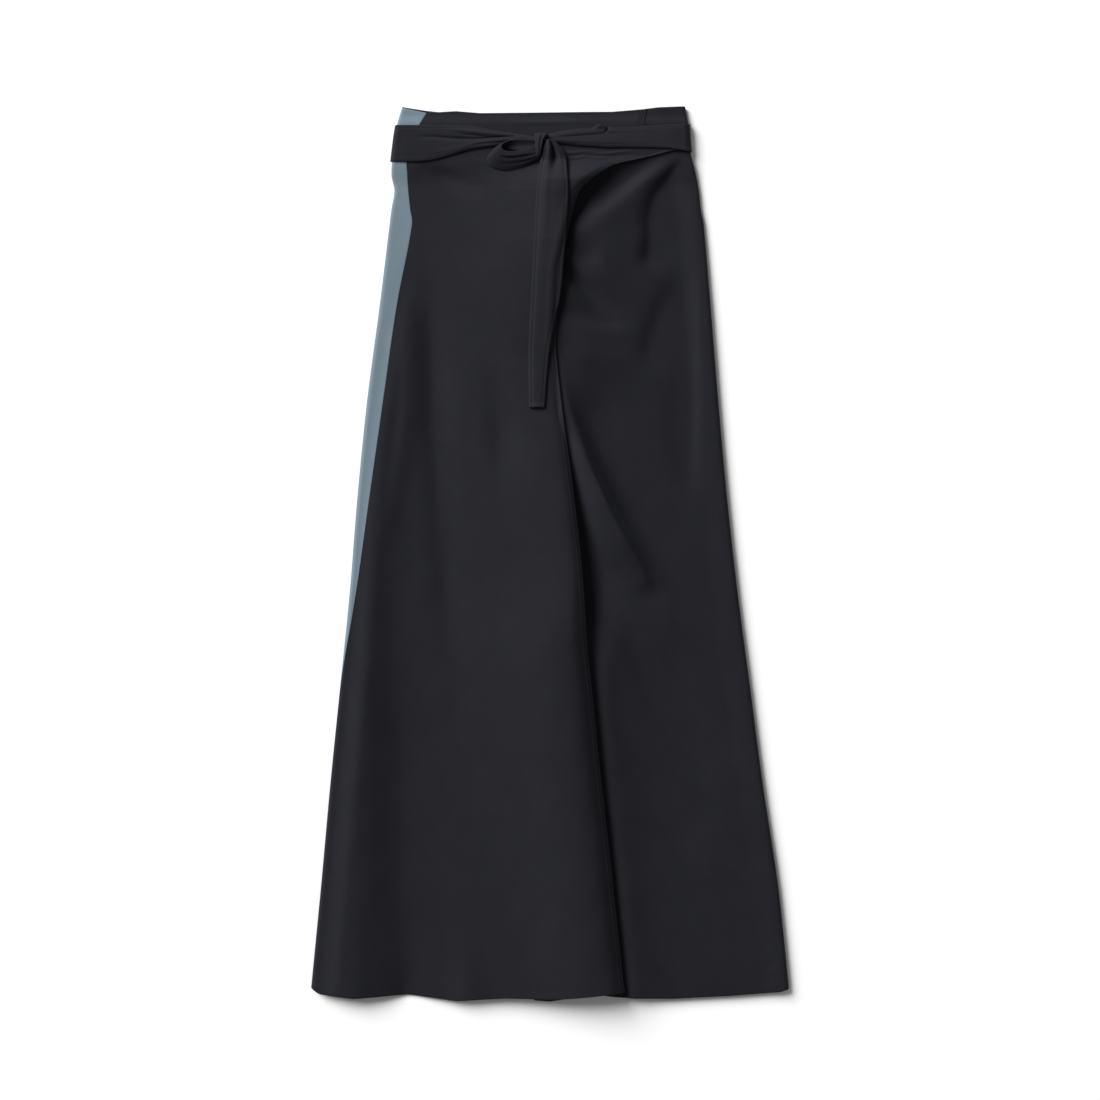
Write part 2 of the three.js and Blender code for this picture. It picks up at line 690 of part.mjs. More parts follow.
// The right wing steps up from the fold on to the corner of the over front.
function overCorner(round) {
  const step = { start: 0.5, end: 6 };
  return layerStep * smoothStep(step.start, step.end, round);
}

// The tie where it passes under the back, between the under ends of the two wings.
function tieBack() {
  const columns = 6;
  const rows = 4;
  const edge = { leftTop: 441, rightTop: 442, leftBottom: 405, rightBottom: 414 };
  const place = (column, row) => {
    const t = column / columns;
    const top = edge.leftTop + (edge.rightTop - edge.leftTop) * t;
    const bottom = edge.leftBottom + (edge.rightBottom - edge.leftBottom) * t;
    const y = top + (bottom - top) * row / rows;
    const leftEnd = offSheet(leftSheet, -wingUnder, y, 0).point.x + seamGap;
    const rightEnd = offSheet(rightSheet, -wingUnder, y, 0).point.x - seamGap;
    const point = new THREE.Vector3(leftEnd + (rightEnd - leftEnd) * t, y, tieWall / 2);
    return { point, normal: new THREE.Vector3(0, 0, 1) };
  };
  return wallGeometry(columns, rows, tieWall, place);
}

// The knot: rounded sections closed at both ends, on a flat seat.
function knot() {
  const sides = 12;
  const positions = [];
  for (const section of knotSections) {
    for (let i = 0; i < sides; i += 1) {
      const angle = Math.PI * 2 * i / sides;
      const height = section.height / 2 * (1 + Math.sin(angle));
      positions.push(section.x + section.half * Math.cos(angle), section.y, knotSeat + height);
    }
  }
  const triangles = [];
  for (let ring = 0; ring < knotSections.length - 1; ring += 1) {
    for (let i = 0; i < sides; i += 1) {
      const a = ring * sides + i;
      const b = ring * sides + (i + 1) % sides;
      triangles.push([a, b, b + sides], [a, b + sides, a + sides]);
    }
  }
  const lastRing = (knotSections.length - 1) * sides;
  for (let i = 1; i < sides - 1; i += 1) {
    triangles.push([0, i + 1, i], [lastRing, lastRing + i, lastRing + i + 1]);
  }
  return closedGeometry(positions, triangles);
}

// The loop: a strap that leaves the knot, turns over on itself and comes back.
function loop() {
  const columns = 24;
  const rows = 4;
  const dome = 1.2;
  const headingReach = 0.1;
  const place = (column, row) => {
    const at = (loopPath.length - 1) * column / columns;
    const middle = new THREE.Vector3(...['x', 'y', 'z'].map((axis) => columnAtRow(loopPath, axis, at)));
    const back = Math.max(at - headingReach, 0);
    const on = Math.min(at + headingReach, loopPath.length - 1);
    const heading = new THREE.Vector3(
      columnAtRow(loopPath, 'x', on) - columnAtRow(loopPath, 'x', back),
      columnAtRow(loopPath, 'y', on) - columnAtRow(loopPath, 'y', back),
      0,
    ).normalize();
    const sideways = new THREE.Vector3(-heading.y, heading.x, 0);
    const across = 1 - 2 * row / rows;
    const point = middle.addScaledVector(sideways, across * columnAtRow(loopPath, 'half', at));
    point.z += dome * (1 - across * across);
    return { point, normal: new THREE.Vector3(0, 0, 1) };
  };
  return wallGeometry(columns, rows, tieWall, place);
}

// The free end, lying on the over front.
function tail() {
  const rowYs = rowLevels([
    { from: 423, to: 395, step: 7 }, { to: 360, step: 12 }, { to: 265, step: 19 },
    { to: 250, step: 15 }, { to: 151, step: 20 },
  ]);
  const columns = 4;
  const dome = 2;
  const clearance = 0.5;
  const place = (column, row) => {
    const y = rowYs[row];
    const across = column / columns;
    const left = straight(tailEdges, 'y', 'left', y);
    const right = straight(tailEdges, 'y', 'right', y);
    const x = left + (right - left) * across;
    const stand = straight(tailEdges, 'y', 'stand', y);
    const under = overHeight(Math.min(x, freeEdgeX(y) - edgeMargin), y);
    const height = under + tieStep + clearance + stand + dome * across * (1 - across);
    const point = new THREE.Vector3(x, y, height);
    return { point, normal: new THREE.Vector3(0, 0, 1) };
  };
  return wallGeometry(columns, rowYs.length - 1, tieWall, place);
}

const skirt = new THREE.Group();
skirt.add(
  namedMesh('back_panel', backPanel(), blueCloth),
  namedMesh('back_facing', backFacing(), navyCloth),
  namedMesh('under_front', underFront(), navyCloth),
  namedMesh('over_front', overFront(), navyCloth),
  namedMesh('tie_back', tieBack(), tieCloth),
  namedMesh('tie_left_wing', wing(leftSheet, leftWing, () => 0), tieCloth),
  namedMesh('tie_right_wing', wing(rightSheet, rightWing, overCorner), tieCloth),
  namedMesh('tie_knot', knot(), tieCloth),
  namedMesh('tie_loop', loop(), tieCloth),
  namedMesh('tie_tail', tail(), tieCloth),
);

export default skirt;
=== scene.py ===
# A long wrap skirt with its own tie belt, laid flat and seen straight down.
import math

import bpy
import numpy as np
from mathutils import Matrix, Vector


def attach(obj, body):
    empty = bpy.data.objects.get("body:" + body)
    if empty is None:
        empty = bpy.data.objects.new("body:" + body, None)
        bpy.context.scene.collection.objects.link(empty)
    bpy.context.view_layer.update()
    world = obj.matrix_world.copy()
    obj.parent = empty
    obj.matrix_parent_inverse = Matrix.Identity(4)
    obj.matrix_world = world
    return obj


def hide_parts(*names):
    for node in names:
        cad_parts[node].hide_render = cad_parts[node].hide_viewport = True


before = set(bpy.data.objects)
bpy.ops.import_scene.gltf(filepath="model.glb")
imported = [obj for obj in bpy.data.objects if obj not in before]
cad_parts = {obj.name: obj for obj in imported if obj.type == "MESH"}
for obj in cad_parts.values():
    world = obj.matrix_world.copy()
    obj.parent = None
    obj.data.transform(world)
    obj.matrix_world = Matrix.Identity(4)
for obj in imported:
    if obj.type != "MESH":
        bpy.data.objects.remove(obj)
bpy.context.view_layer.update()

# The camera looks straight down, as in the photograph, whose frame is 1133 mm wide at the cloth.
FRAME_WIDTH = 1.133
FRAME_CENTRE = (-0.00005, 0.00401)
LENS = 85
SENSOR = 36
CLOTH_LEVEL = 0.008

camera = bpy.data.objects.new("camera", bpy.data.cameras.new("camera"))
camera.data.lens = LENS
camera.data.sensor_width = SENSOR
camera.data.clip_end = 20
camera.location = (*FRAME_CENTRE, CLOTH_LEVEL + FRAME_WIDTH * LENS / SENSOR)
bpy.context.collection.objects.link(camera)
bpy.context.scene.camera = camera

# The surface that the skirt lies on: plain, pale and matt, wide enough to fill every view.
FLOOR_HALF = 6.0
FLOOR_COLOUR = (0.885, 0.885, 0.885, 1)


def plain_material(name, colour, roughness):
    material = bpy.data.materials.new(name)
    material.use_nodes = True
    shader = material.node_tree.nodes["Principled BSDF"]
    shader.inputs["Base Color"].default_value = colour
    shader.inputs["Roughness"].default_value = roughness
    return material


floor_mesh = bpy.data.meshes.new("floor")
floor_mesh.from_pydata(
    [(-FLOOR_HALF, -FLOOR_HALF, 0), (FLOOR_HALF, -FLOOR_HALF, 0),
     (FLOOR_HALF, FLOOR_HALF, 0), (-FLOOR_HALF, FLOOR_HALF, 0)], [], [(0, 1, 2, 3)])
floor_mesh.materials.append(plain_material("floor", FLOOR_COLOUR, 0.9))
floor = bpy.data.objects.new("floor", floor_mesh)
bpy.context.collection.objects.link(floor)

# Soft studio light: a wide, even light from the upper left throws the soft shadow to the lower right,
# and a white room fills the rest.
KEY_FROM = Vector((-3.1, 2.6, 2.55))
KEY_WIDTH = math.radians(38)
KEY_STRENGTH = 5.3
ROOM_STRENGTH = 0.24


def aimed_light(name, kind, place, aim, strength):
    light = bpy.data.objects.new(name, bpy.data.lights.new(name, kind))
    light.data.energy = strength
    light.location = place
    light.rotation_mode = "QUATERNION"
    light.rotation_quaternion = (aim - place).to_track_quat("-Z", "Y")
    bpy.context.collection.objects.link(light)
    return light


key = aimed_light("key", "SUN", KEY_FROM, Vector((0, 0, 0)), KEY_STRENGTH)
key.data.angle = KEY_WIDTH

# A small soft lamp above the waist, which lifts the dark cloth round the knot.
fill = aimed_light("fill", "AREA", Vector((-0.45, 0.95, 0.62)), Vector((0, 0.42, 0)), 1.8)
fill.data.shape = "SQUARE"
fill.data.size = 0.5

room = bpy.data.worlds.new("room")
room.use_nodes = True
room.node_tree.nodes["Background"].inputs["Color"].default_value = (1, 1, 1, 1)
room.node_tree.nodes["Background"].inputs["Strength"].default_value = ROOM_STRENGTH
bpy.context.scene.world = room
bpy.context.scene.view_settings.view_transform = "Standard"

# The back panel: light blue woven cloth, cut as one piece. It lies under everything, wraps round the
# left fold and ends at the front seam, so it shows as a strip down the left. Sizes are in millimetres.
MM = 0.001
OUTLINE_CENTRE = (0.05, 0.11)
CLOTH_WALL = 1.2
SEAM_GAP = 0.3
WAIST_TURN = 2.4
HIP_TURN = 3.4
TIE_LIFT = 1.9
ROW_TOP = 456
ROW_HEM = -456
SIDE_BLEND = 26
LAYER_STEP = 2.1
PRESSED = 0.4


def columns(names, rows):
    """A table as one array for each named column."""
    values = np.array(rows, dtype=float)
    return {name: values[:, i] for i, name in enumerate(names.split())}


# The laid outline: left and right fold at each level, and how far in from the left fold the front
# seam lies, measured round the cloth. A negative inset is a seam on the underside.
LEVELS = columns("y left right inset", [
    (461, -152, 139, 29),
    (443, -157, 142, 24),
    (416, -161, 144, 15),
    (391, -163, 150, 17),
    (375, -160, 153, 15),
    (356, -163, 155, 20),
    (340, -165, 158, 24),
    (258, -175, 165, 19),
    (159, -188, 173, 18),
    (60, -198, 182, 14),
    (-39, -206, 193, 8),
    (-138, -216, 206, 1),
    (-237, -226, 219, -4),
    (-336, -235, 234, -8),
    (-398, -241, 241, -11),
    (-449, -246, 246, -14),
])

# The waist edge and the hem of each layer, from left to right.
WAIST_EDGE = columns("x front back", [
    (-154, 459.3, 461),
    (-127, 454.2, 457),
    (-97, 456, 454),
    (-72, 454, 453),
    (64, 455, 453),
    (89, 457, 455),
    (113, 460, 458),
    (139, 461, 460),
])
HEM_EDGE = columns("x over under back", [
    (-246, -447, -447, -447),
    (-238, -453, -453, -451),
    (-202, -457, -457, -454),
    (-146, -454, -455, -453),
    (-97, -460, -457, -455),
    (-47, -457, -458, -455),
    (0, -457, -461, -457),
    (26, -455, -457, -455),
    (52, -452, -454, -452),
    (82, -449, -457, -454),
    (126, -449, -458, -455),
    (187, -449, -455, -452),
    (237, -449, -451, -448),
    (246, -449, -448, -446),
])

# The over front, a row of cloth for each line: where the row leaves the front seam, where it ends on
# the free edge, and how far that edge stands off the cloth under it.
FREE_EDGE = columns("leaves x y rise", [
    (456, 99, 457, 0),
    (445, 98, 441, 0),
    (436, 112, 433, 0),
    (427, 128, 425, 0),
    (418, 133, 418, 0.5),
    (408, 123, 415, 2),
    (401, 108, 411, 5),
    (394, 91, 407, 8),
    (386, 77, 404, 10),
    (376, 64, 400, 12),
    (364, 52, 393, 13),
    (350, 41, 385, 14),
    (336, 31, 375, 14),
    (322, 26, 365, 13),
    (306, 22, 351, 13),
    (282, 16, 323, 15),
    (256, 9, 293, 14),
    (210, 6, 231, 11),
    (186, 6, 206, 10),
    (130, 13, 143, 12),
    (85, 19.5, 95, 15),
    (38, 25.5, 46, 17),
    (-8, 31, -2, 18),
    (-50, 34.5, -47, 20),
    (-92, 37, -90, 21),
    (-128, 41, -127, 21),
    (-217, 50, -217, 20),
    (-308, 60.5, -308, 19),
    (-420, 72.5, -420, 18),
    (-456, 76, -449, 17),
])
FIRST_OPEN_ROW = 5
OPEN_EDGE = {name: column[FIRST_OPEN_ROW:] for name, column in FREE_EDGE.items()}
UNDER_EDGE = columns("y x", [(461, -40), (-461, -16)])


def smooth_step(low, high, value):
    t = np.clip((value - low) / (high - low), 0, 1)
    return t * t * (3 - 2 * t)


def straight(table, key, column, value):
    """Straight between the rows of a table."""
    keys, values = table[key], table[column]
    if keys[-1] < keys[0]:
        keys, values = keys[::-1], values[::-1]
    return np.interp(value, keys, values)


def curve(table, key, column, value):
    """Smooth between the rows of a table, with slopes measured in the key."""
    keys, values = table[key], table[column]
    if keys[-1] < keys[0]:
        keys, values = keys[::-1], values[::-1]
    slopes = np.empty_like(values)
    slopes[1:-1] = (values[2:] - values[:-2]) / (keys[2:] - keys[:-2])
    slopes[0] = (values[1] - values[0]) / (keys[1] - keys[0])
    slopes[-1] = (values[-1] - values[-2]) / (keys[-1] - keys[-2])
    row = np.clip(np.searchsorted(keys, value) - 1, 0, len(keys) - 2)
    span = keys[row + 1] - keys[row]
    t = np.clip((value - keys[row]) / span, 0, 1)
    return (values[row] * (2 * t**3 - 3 * t**2 + 1) + slopes[row] * span * (t**3 - 2 * t**2 + t)
            + values[row + 1] * (3 * t**2 - 2 * t**3) + slopes[row + 1] * span * (t**3 - t**2))


def along_rows(values, place):
    """A smooth curve through values at a place counted in rows."""
    last = len(values) - 1
    row = np.clip(np.floor(place).astype(int), 0, last - 1)
    t = place - row
    before, start = values[np.maximum(row - 1, 0)], values[row]
    end, after = values[row + 1], values[np.minimum(row + 2, last)]
    leave, arrive = (end - before) / 2, (after - start) / 2
    return (start * (2 * t**3 - 3 * t**2 + 1) + leave * (t**3 - 2 * t**2 + t)
            + end * (3 * t**2 - 2 * t**3) + arrive * (t**3 - t**2))


LINE_STEPS = 5


def smooth_line(points):
    """A smooth line through given points."""
    points = np.array(points, dtype=float)
    place = np.linspace(0, len(points) - 1, LINE_STEPS * (len(points) - 1) + 1)
    return np.stack([along_rows(points[:, axis], place) for axis in range(points.shape[1])], axis=1)


def fold_height(rows, x, y, left_power=2):
    """A soft ridge or trough along a line. Each row is a point of the line, the fold's rise there, and
    its half widths to the left and right of the line's direction. A negative rise is a trough. A left
    power below 2 makes the crest sharper on that side."""
    line = smooth_line(rows)
    reach = 3 * np.max(line[:, 3:])
    low, high = line[:, :2].min(axis=0) - reach, line[:, :2].max(axis=0) + reach
    near = (x > low[0]) & (x < high[0]) & (y > low[1]) & (y < high[1])
    near_x, near_y = x[near], y[near]
    nearest = np.full(near_x.shape, np.inf)
    place = np.zeros(near_x.shape)
    side = np.zeros(near_x.shape)
    for i, (a, b) in enumerate(zip(line[:-1, :2], line[1:, :2])):
        step = b - a
        t = np.clip(((near_x - a[0]) * step[0] + (near_y - a[1]) * step[1]) / step.dot(step), 0, 1)
        away_x, away_y = near_x - a[0] - t * step[0], near_y - a[1] - t * step[1]
        distance = np.hypot(away_x, away_y)
        closer = distance < nearest
        nearest = np.where(closer, distance, nearest)
        place = np.where(closer, i + t, place)
        side = np.where(closer, (step[0] * away_y - step[1] * away_x) / np.hypot(*step), side)
    rise, left, right = (np.interp(place, np.arange(len(line)), line[:, k]) for k in (2, 3, 4))
    if rows[0][2] == 0:
        rise = rise * smooth_step(0, LINE_STEPS, place)
    if rows[-1][2] == 0:
        rise = rise * smooth_step(0, LINE_STEPS, len(line) - 1 - place)
    to_left = smooth_step(-0.8, 0.8, side / np.maximum(nearest, 0.5))
    width = right + (left - right) * to_left
    power = 2 + (left_power - 2) * to_left
    height = np.zeros(x.shape)
    height[near] = rise * np.exp(-(nearest / width)**power)
    return height


def folds_height(folds, x, y):
    return sum(fold_height(rows, x, y) for rows in folds.values())


def rounded_max(a, b, rounding):
    return (a + b + np.sqrt((a - b)**2 + rounding**2)) / 2


# The main folds of the under front. Each row is x, y, rise, half width left and right of the line.
UNDER_FOLDS = {
    "swell along the free edge": [(70, 440, 0, 60, 30), (56, 395, 3, 62, 30), (34, 330, 7, 66, 30),
                                  (22, 280, 8, 66, 30), (12, 230, 8, 60, 30), (6, 180, 7, 44, 30),
                                  (6, 130, 8, 22, 30), (10, 80, 7, 20, 30), (15, 30, 7, 24, 30),
                                  (19, -20, 8, 28, 30), (22, -60, 10, 34, 30), (24, -90, 12, 38, 30),
                                  (27, -130, 11, 40, 30), (35, -217, 9, 40, 30), (45, -310, 9, 42, 30),
                                  (57, -420, 9, 42, 30), (63, -480, 9, 42, 30)],
    "ridge from the tie": [(25, 334, 1, 9, 14), (54, 352, 1.5, 8, 16), (79, 369, 2, 8, 16),
                           (104, 389, 3, 7, 12), (129, 408, 2, 6, 8)],
    "hollow under the edge": [(18, 340, -3, 8, 14), (36, 364, -10, 10, 16), (56, 380, -12, 11, 15),
                              (80, 394, -9, 9, 12), (108, 408, -3, 6, 8)],
    "fold from the right": [(139, 412, -4, 6, 5), (135, 398, -11, 14, 8), (127, 381, -12, 22, 10),
                            (116, 364, -11, 26, 12), (111, 346, -11, 26, 12), (111, 326, -10, 26, 12),
                            (102, 304, -5, 20, 10), (92, 288, 0, 16, 10)],
    "first swag": [(8, 324, -4, 13, 12), (22, 314, -4, 14, 14), (40, 307, -3, 13, 14),
                   (60, 306, 0, 12, 14)],
    "second swag": [(0, 300, -6, 8, 8), (20, 288, -7, 9, 9), (36, 274, -6, 9, 9),
                    (50, 260, -3, 10, 11), (66, 240, 0, 10, 14)],
    "smile hollow": [(16, 256, -1, 20, 9), (38, 246, -4, 22, 9), (62, 240, -4, 22, 9),
                     (96, 240, 0, 20, 12)],
    "smile": [(16, 224, 0, 12, 18), (37, 207, 1.5, 12, 22), (60, 200, 1.5, 12, 24), (82, 204, 1, 12, 22),
              (104, 220, 0, 12, 18)],
    "side dimple": [(127, 284, 0, 22, 12), (118, 248, -4, 26, 14), (108, 212, -4.5, 26, 14),
                    (95, 180, 0, 20, 12)],
    "under the long swag": [(52, -24, 1, 16, 14), (81, -52, 3, 22, 20), (117, -78, 3, 24, 26),
                            (156, -76, 0, 20, 22)],
    "hollow by the edge": [(14, 160, 0, 4, 6), (21, 110, -4, 5, 8), (27, 70, -7, 8, 8),
                           (33, 30, -9, 11, 10), (37, -10, -11, 15, 12), (39, -45, -11, 19, 12),
                           (41, -90, -8, 16, 12), (44, -130, -6, 10, 12), (52, -217, -5, 9, 12),
                           (62, -310, -5, 9, 12), (74, -430, -5, 9, 12), (79, -480, -5, 9, 12)],
    "knee trough": [(84, -100, -1, 30, 12), (113, -150, -4, 36, 15), (149, -205, -4, 34, 15),
                    (168, -250, 0, 28, 14)],
    "low trough": [(90, -228, -1, 30, 14), (131, -280, -4, 34, 17), (174, -340, 0, 28, 16)],
    "side crease": [(139, 388, -3, 7, 14), (142, 311, -6, 9, 18), (142, 246, -6, 9, 20),
                    (144, 169, -5, 9, 20), (142, 92, -3, 9, 18), (144, 20, 0, 9, 16)],
    "corner crease": [(216, -431, 0, 4, 4), (230, -423, -2.5, 4, 4), (244, -415, -3, 4, 4)],
}

# The long swag is a ridge with a sharp crest: it climbs softly from the left and drops steeply to the
# right.
LONG_SWAG = [(6, 212, 0, 10, 14), (15, 172, 3, 8, 16), (22, 145, 6, 7, 18), (31, 120, 11, 6.5, 20),
             (38.5, 99, 15, 6, 24), (47.5, 78, 17, 6, 27), (57, 57, 18, 6, 29),
             (67.5, 36, 17, 6, 29), (79, 15, 15, 7, 27), (91, -6, 10, 9, 24),
             (100, -26, 5, 12, 22), (108, -48, 0, 16, 20)]
CREST_POWER = 1.2

# The main folds of the over front.
OVER_FOLDS = {
    "middle swell": [(-84, 400, 0, 50, 60), (-76, 330, 2, 50, 60), (-64, 100, 3, 60, 66),
                     (-62, -150, 3, 60, 66), (-52, -450, 3, 60, 66)],
    "long trough": [(-128, 310, 0, 14, 10), (-121, 210, -3.3, 18, 11), (-120, 138, -3.3, 20, 11),
                    (-114, 55, -3, 22, 13), (-106, -36, -3, 22, 14), (-96, -150, 0, 20, 14)],
    "ridge beside the seam": [(-144, 310, 0, 11, 9), (-145, 200, 2.5, 12, 9), (-150, 130, 2.5, 12, 9),
                              (-162, 50, 1.5, 12, 9), (-172, -20, 0, 12, 9)],
    "low left swell": [(-146, 290, 0, 12, 14), (-156, 225, 2.5, 13, 14), (-166, 165, 3.5, 14, 16),
                       (-177, 110, 4.5, 16, 18), (-186, 50, 6, 20, 22), (-192, 0, 7, 23, 28),
                       (-196, -50, 8, 26, 34), (-197, -110, 8, 28, 42), (-199, -190, 8, 30, 46),
                       (-202, -300, 8, 32, 50), (-204, -400, 8, 34, 50), (-206, -480, 8, 34, 50)],
    "low left trough": [(-158, -60, 0, 50, 20), (-150, -186, -2, 60, 22), (-148, -308, -2, 60, 22),
                        (-144, -480, -2, 60, 22)],
    "centre trough": [(-60, 225, 0, 16, 14), (-50, 120, -3, 20, 14), (-44, 30, 0, 18, 14)],
    "hem wave": [(-90, -360, 0, 18, 18), (-86, -420, 1.5, 18, 18), (-88, -462, 3, 18, 18)],
    "under the left wing": [(-144, 403, 0, 7, 9), (-128, 399, -2.5, 8, 10), (-112, 393, -4, 8, 10),
                            (-96, 385, -3, 9, 11), (-78, 376, -1, 9, 12), (-60, 368, 0, 9, 12)],
    "hem hollow": [(-140, -360, 0, 16, 16), (-146, -460, -2.5, 16, 16)],
}

# Fine wrinkles of the over front under the tie.
WAIST_WRINKLES = {
    "upper": [(10, 415, 0, 1.3, 2), (22, 413, 1.1, 1.2, 2), (38, 414, 0.7, 1.2, 2), (54, 412, 1, 1.2, 2),
              (74, 414, 0.8, 1.2, 2), (96, 415, 0, 1.4, 2)],
    "middle": [(10, 410, 0, 1.3, 2), (22, 407.5, 1.2, 1.2, 2.2), (36, 409, 0.8, 1.2, 2),
               (50, 407.5, 1, 1.2, 2), (70, 410, 0, 1.4, 2)],
    "lower": [(10, 405, 0, 1.3, 2.2), (22, 402.5, 0.9, 1.4, 2.4), (36, 403, 0.6, 1.4, 2.2),
              (52, 401, 0, 1.6, 2.2)],
    "above the tie": [(-60, 447, 0, 2, 2), (-20, 445, 0.5, 1.6, 2.4), (30, 446, 0.5, 1.6, 2.4),
                      (80, 448, 0, 2, 2)],
    "by the corner": [(88, 456, 0, 2.4, 3), (91, 449, 0.7, 2.4, 3), (92, 443, 0, 2.4, 3)],
    "left of the knot": [(-86, 410, 0, 1.6, 2), (-72, 405, 0.5, 1.6, 2.4), (-58, 399, 0, 1.6, 2)],
}


def lift(y):
    """The cloth rises over the strip of tie that passes under it."""
    return TIE_LIFT * np.minimum(smooth_step(378, 403, y), 1 - smooth_step(443, 453, y))


def turn_radius(y):
    return WAIST_TURN + (HIP_TURN - WAIST_TURN) * (1 - smooth_step(200, 380, y))


def looseness(y):
    """The tie holds the cloth flat above this band."""
    return 1 - smooth_step(382, 416, y)


def free_edge_x(y):
    return straight(OPEN_EDGE, "y", "x", y)


def over_rest(x):
    return CLOTH_WALL / 2 + 2 * WAIST_TURN + LAYER_STEP * smooth_step(-30, 40, x)


def towards_fold(distance, fold_top, height):
    return fold_top + (height - fold_top) * smooth_step(0, SIDE_BLEND, distance)


# The under front's folds fade out this far under the over front. Where they dip, the cloth comes to
# rest softly on the back.
FOLDS_FADE = 34
LEAST_HEIGHT = 2.4


def under_height(x, y):
    """The middle of the under front's cloth above the surface."""
    bare = smooth_step(-FOLDS_FADE, 2, x - free_edge_x(y))
    folds = folds_height(UNDER_FOLDS, x, y) + fold_height(LONG_SWAG, x, y, CREST_POWER)
    folds = folds * looseness(y) * bare
    free = rounded_max(over_rest(x) - LAYER_STEP + folds, LEAST_HEIGHT, 2.2)
    fold_top = CLOTH_WALL / 2 + 2 * turn_radius(y)
    in_from_fold = curve(LEVELS, "y", "right", y) - turn_radius(y) - x
    return towards_fold(in_from_fold, fold_top, free) + lift(y)


# The raised free edge has its crest a little behind it, further back and rounder towards the hem.
# Behind the crest the cloth runs out slowly, and its last few millimetres droop.
HIGH_CREST, LOW_CREST = 9, 26
CREST_RUN_OUT = 70
DROOP_WIDTH = 14


def over_height(x, y):
    """The middle of the over front's cloth above the surface."""
    low = 1 - smooth_step(-130, -20, y)
    crest = HIGH_CREST + (LOW_CREST - HIGH_CREST) * low
    behind_edge = free_edge_x(y) - x
    behind_crest = behind_edge - crest
    reach = np.where(behind_crest > 0, CREST_RUN_OUT, crest * (2.2 - 0.6 * low))
    pulled_up = looseness(y) * np.exp(-(behind_crest / reach)**2)
    turned_down = (2 + 3 * low) * np.clip(1 - behind_edge / DROOP_WIDTH, 0, 1)**2 * looseness(y)
    rise = straight(OPEN_EDGE, "y", "rise", y) * pulled_up - turned_down
    pressed = PRESSED * (1 - looseness(y)) * smooth_step(-30, 40, x)
    wanted = over_rest(x) + folds_height(OVER_FOLDS, x, y) * looseness(y) + rise - pressed
    fold_top = CLOTH_WALL / 2 + 2 * turn_radius(y)
    in_from_fold = x - curve(LEVELS, "y", "left", y) - turn_radius(y)
    blended = towards_fold(in_from_fold, fold_top, wanted) + lift(y)
    past_under_edge = smooth_step(-70, 8, x - straight(UNDER_EDGE, "y", "x", y))
    on_back = CLOTH_WALL * 1.5 + SEAM_GAP + lift(y)
    step = LAYER_STEP + 0.5 * looseness(y) - PRESSED * (1 - looseness(y))
    clear = on_back + (under_height(x, y) + step - on_back) * past_under_edge
    return rounded_max(blended, clear, 0.4 * looseness(y) + 1e-6) + folds_height(WAIST_WRINKLES, x, y)


LEFT_SHEET = {"side": -1, "column": "left", "height": over_height}
RIGHT_SHEET = {"side": 1, "column": "right", "height": under_height}


def off_sheet(sheet, round_cloth, y):
    """The middle of cloth that turns under at one side fold. Places are counted round the cloth from
    the fold, positive on the front."""
    radius = turn_radius(y)
    quarter = math.pi * radius / 2
    fold = curve(LEVELS, "y", sheet["column"], y)
    angle = np.clip(round_cloth / radius, -math.pi / 2, math.pi / 2)
    beyond = np.maximum(np.abs(round_cloth) - quarter, 0)
    x = fold - sheet["side"] * (radius * (1 - np.cos(angle)) + beyond)
    turned = CLOTH_WALL / 2 + radius * (1 + np.sin(angle)) + lift(y)
    z = np.where(round_cloth > quarter, sheet["height"](x, y), turned)
    return np.stack([x, y, z], axis=-1)


def round_of(sheet, x, y):
    radius = turn_radius(y)
    fold = curve(LEVELS, "y", sheet["column"], y)
    return np.abs(fold - x) - radius + math.pi * radius / 2


def grid_normals(points):
    down, across = np.gradient(points, axis=0), np.gradient(points, axis=1)
    normals = np.cross(across, down)
    return normals / np.linalg.norm(normals, axis=-1, keepdims=True)


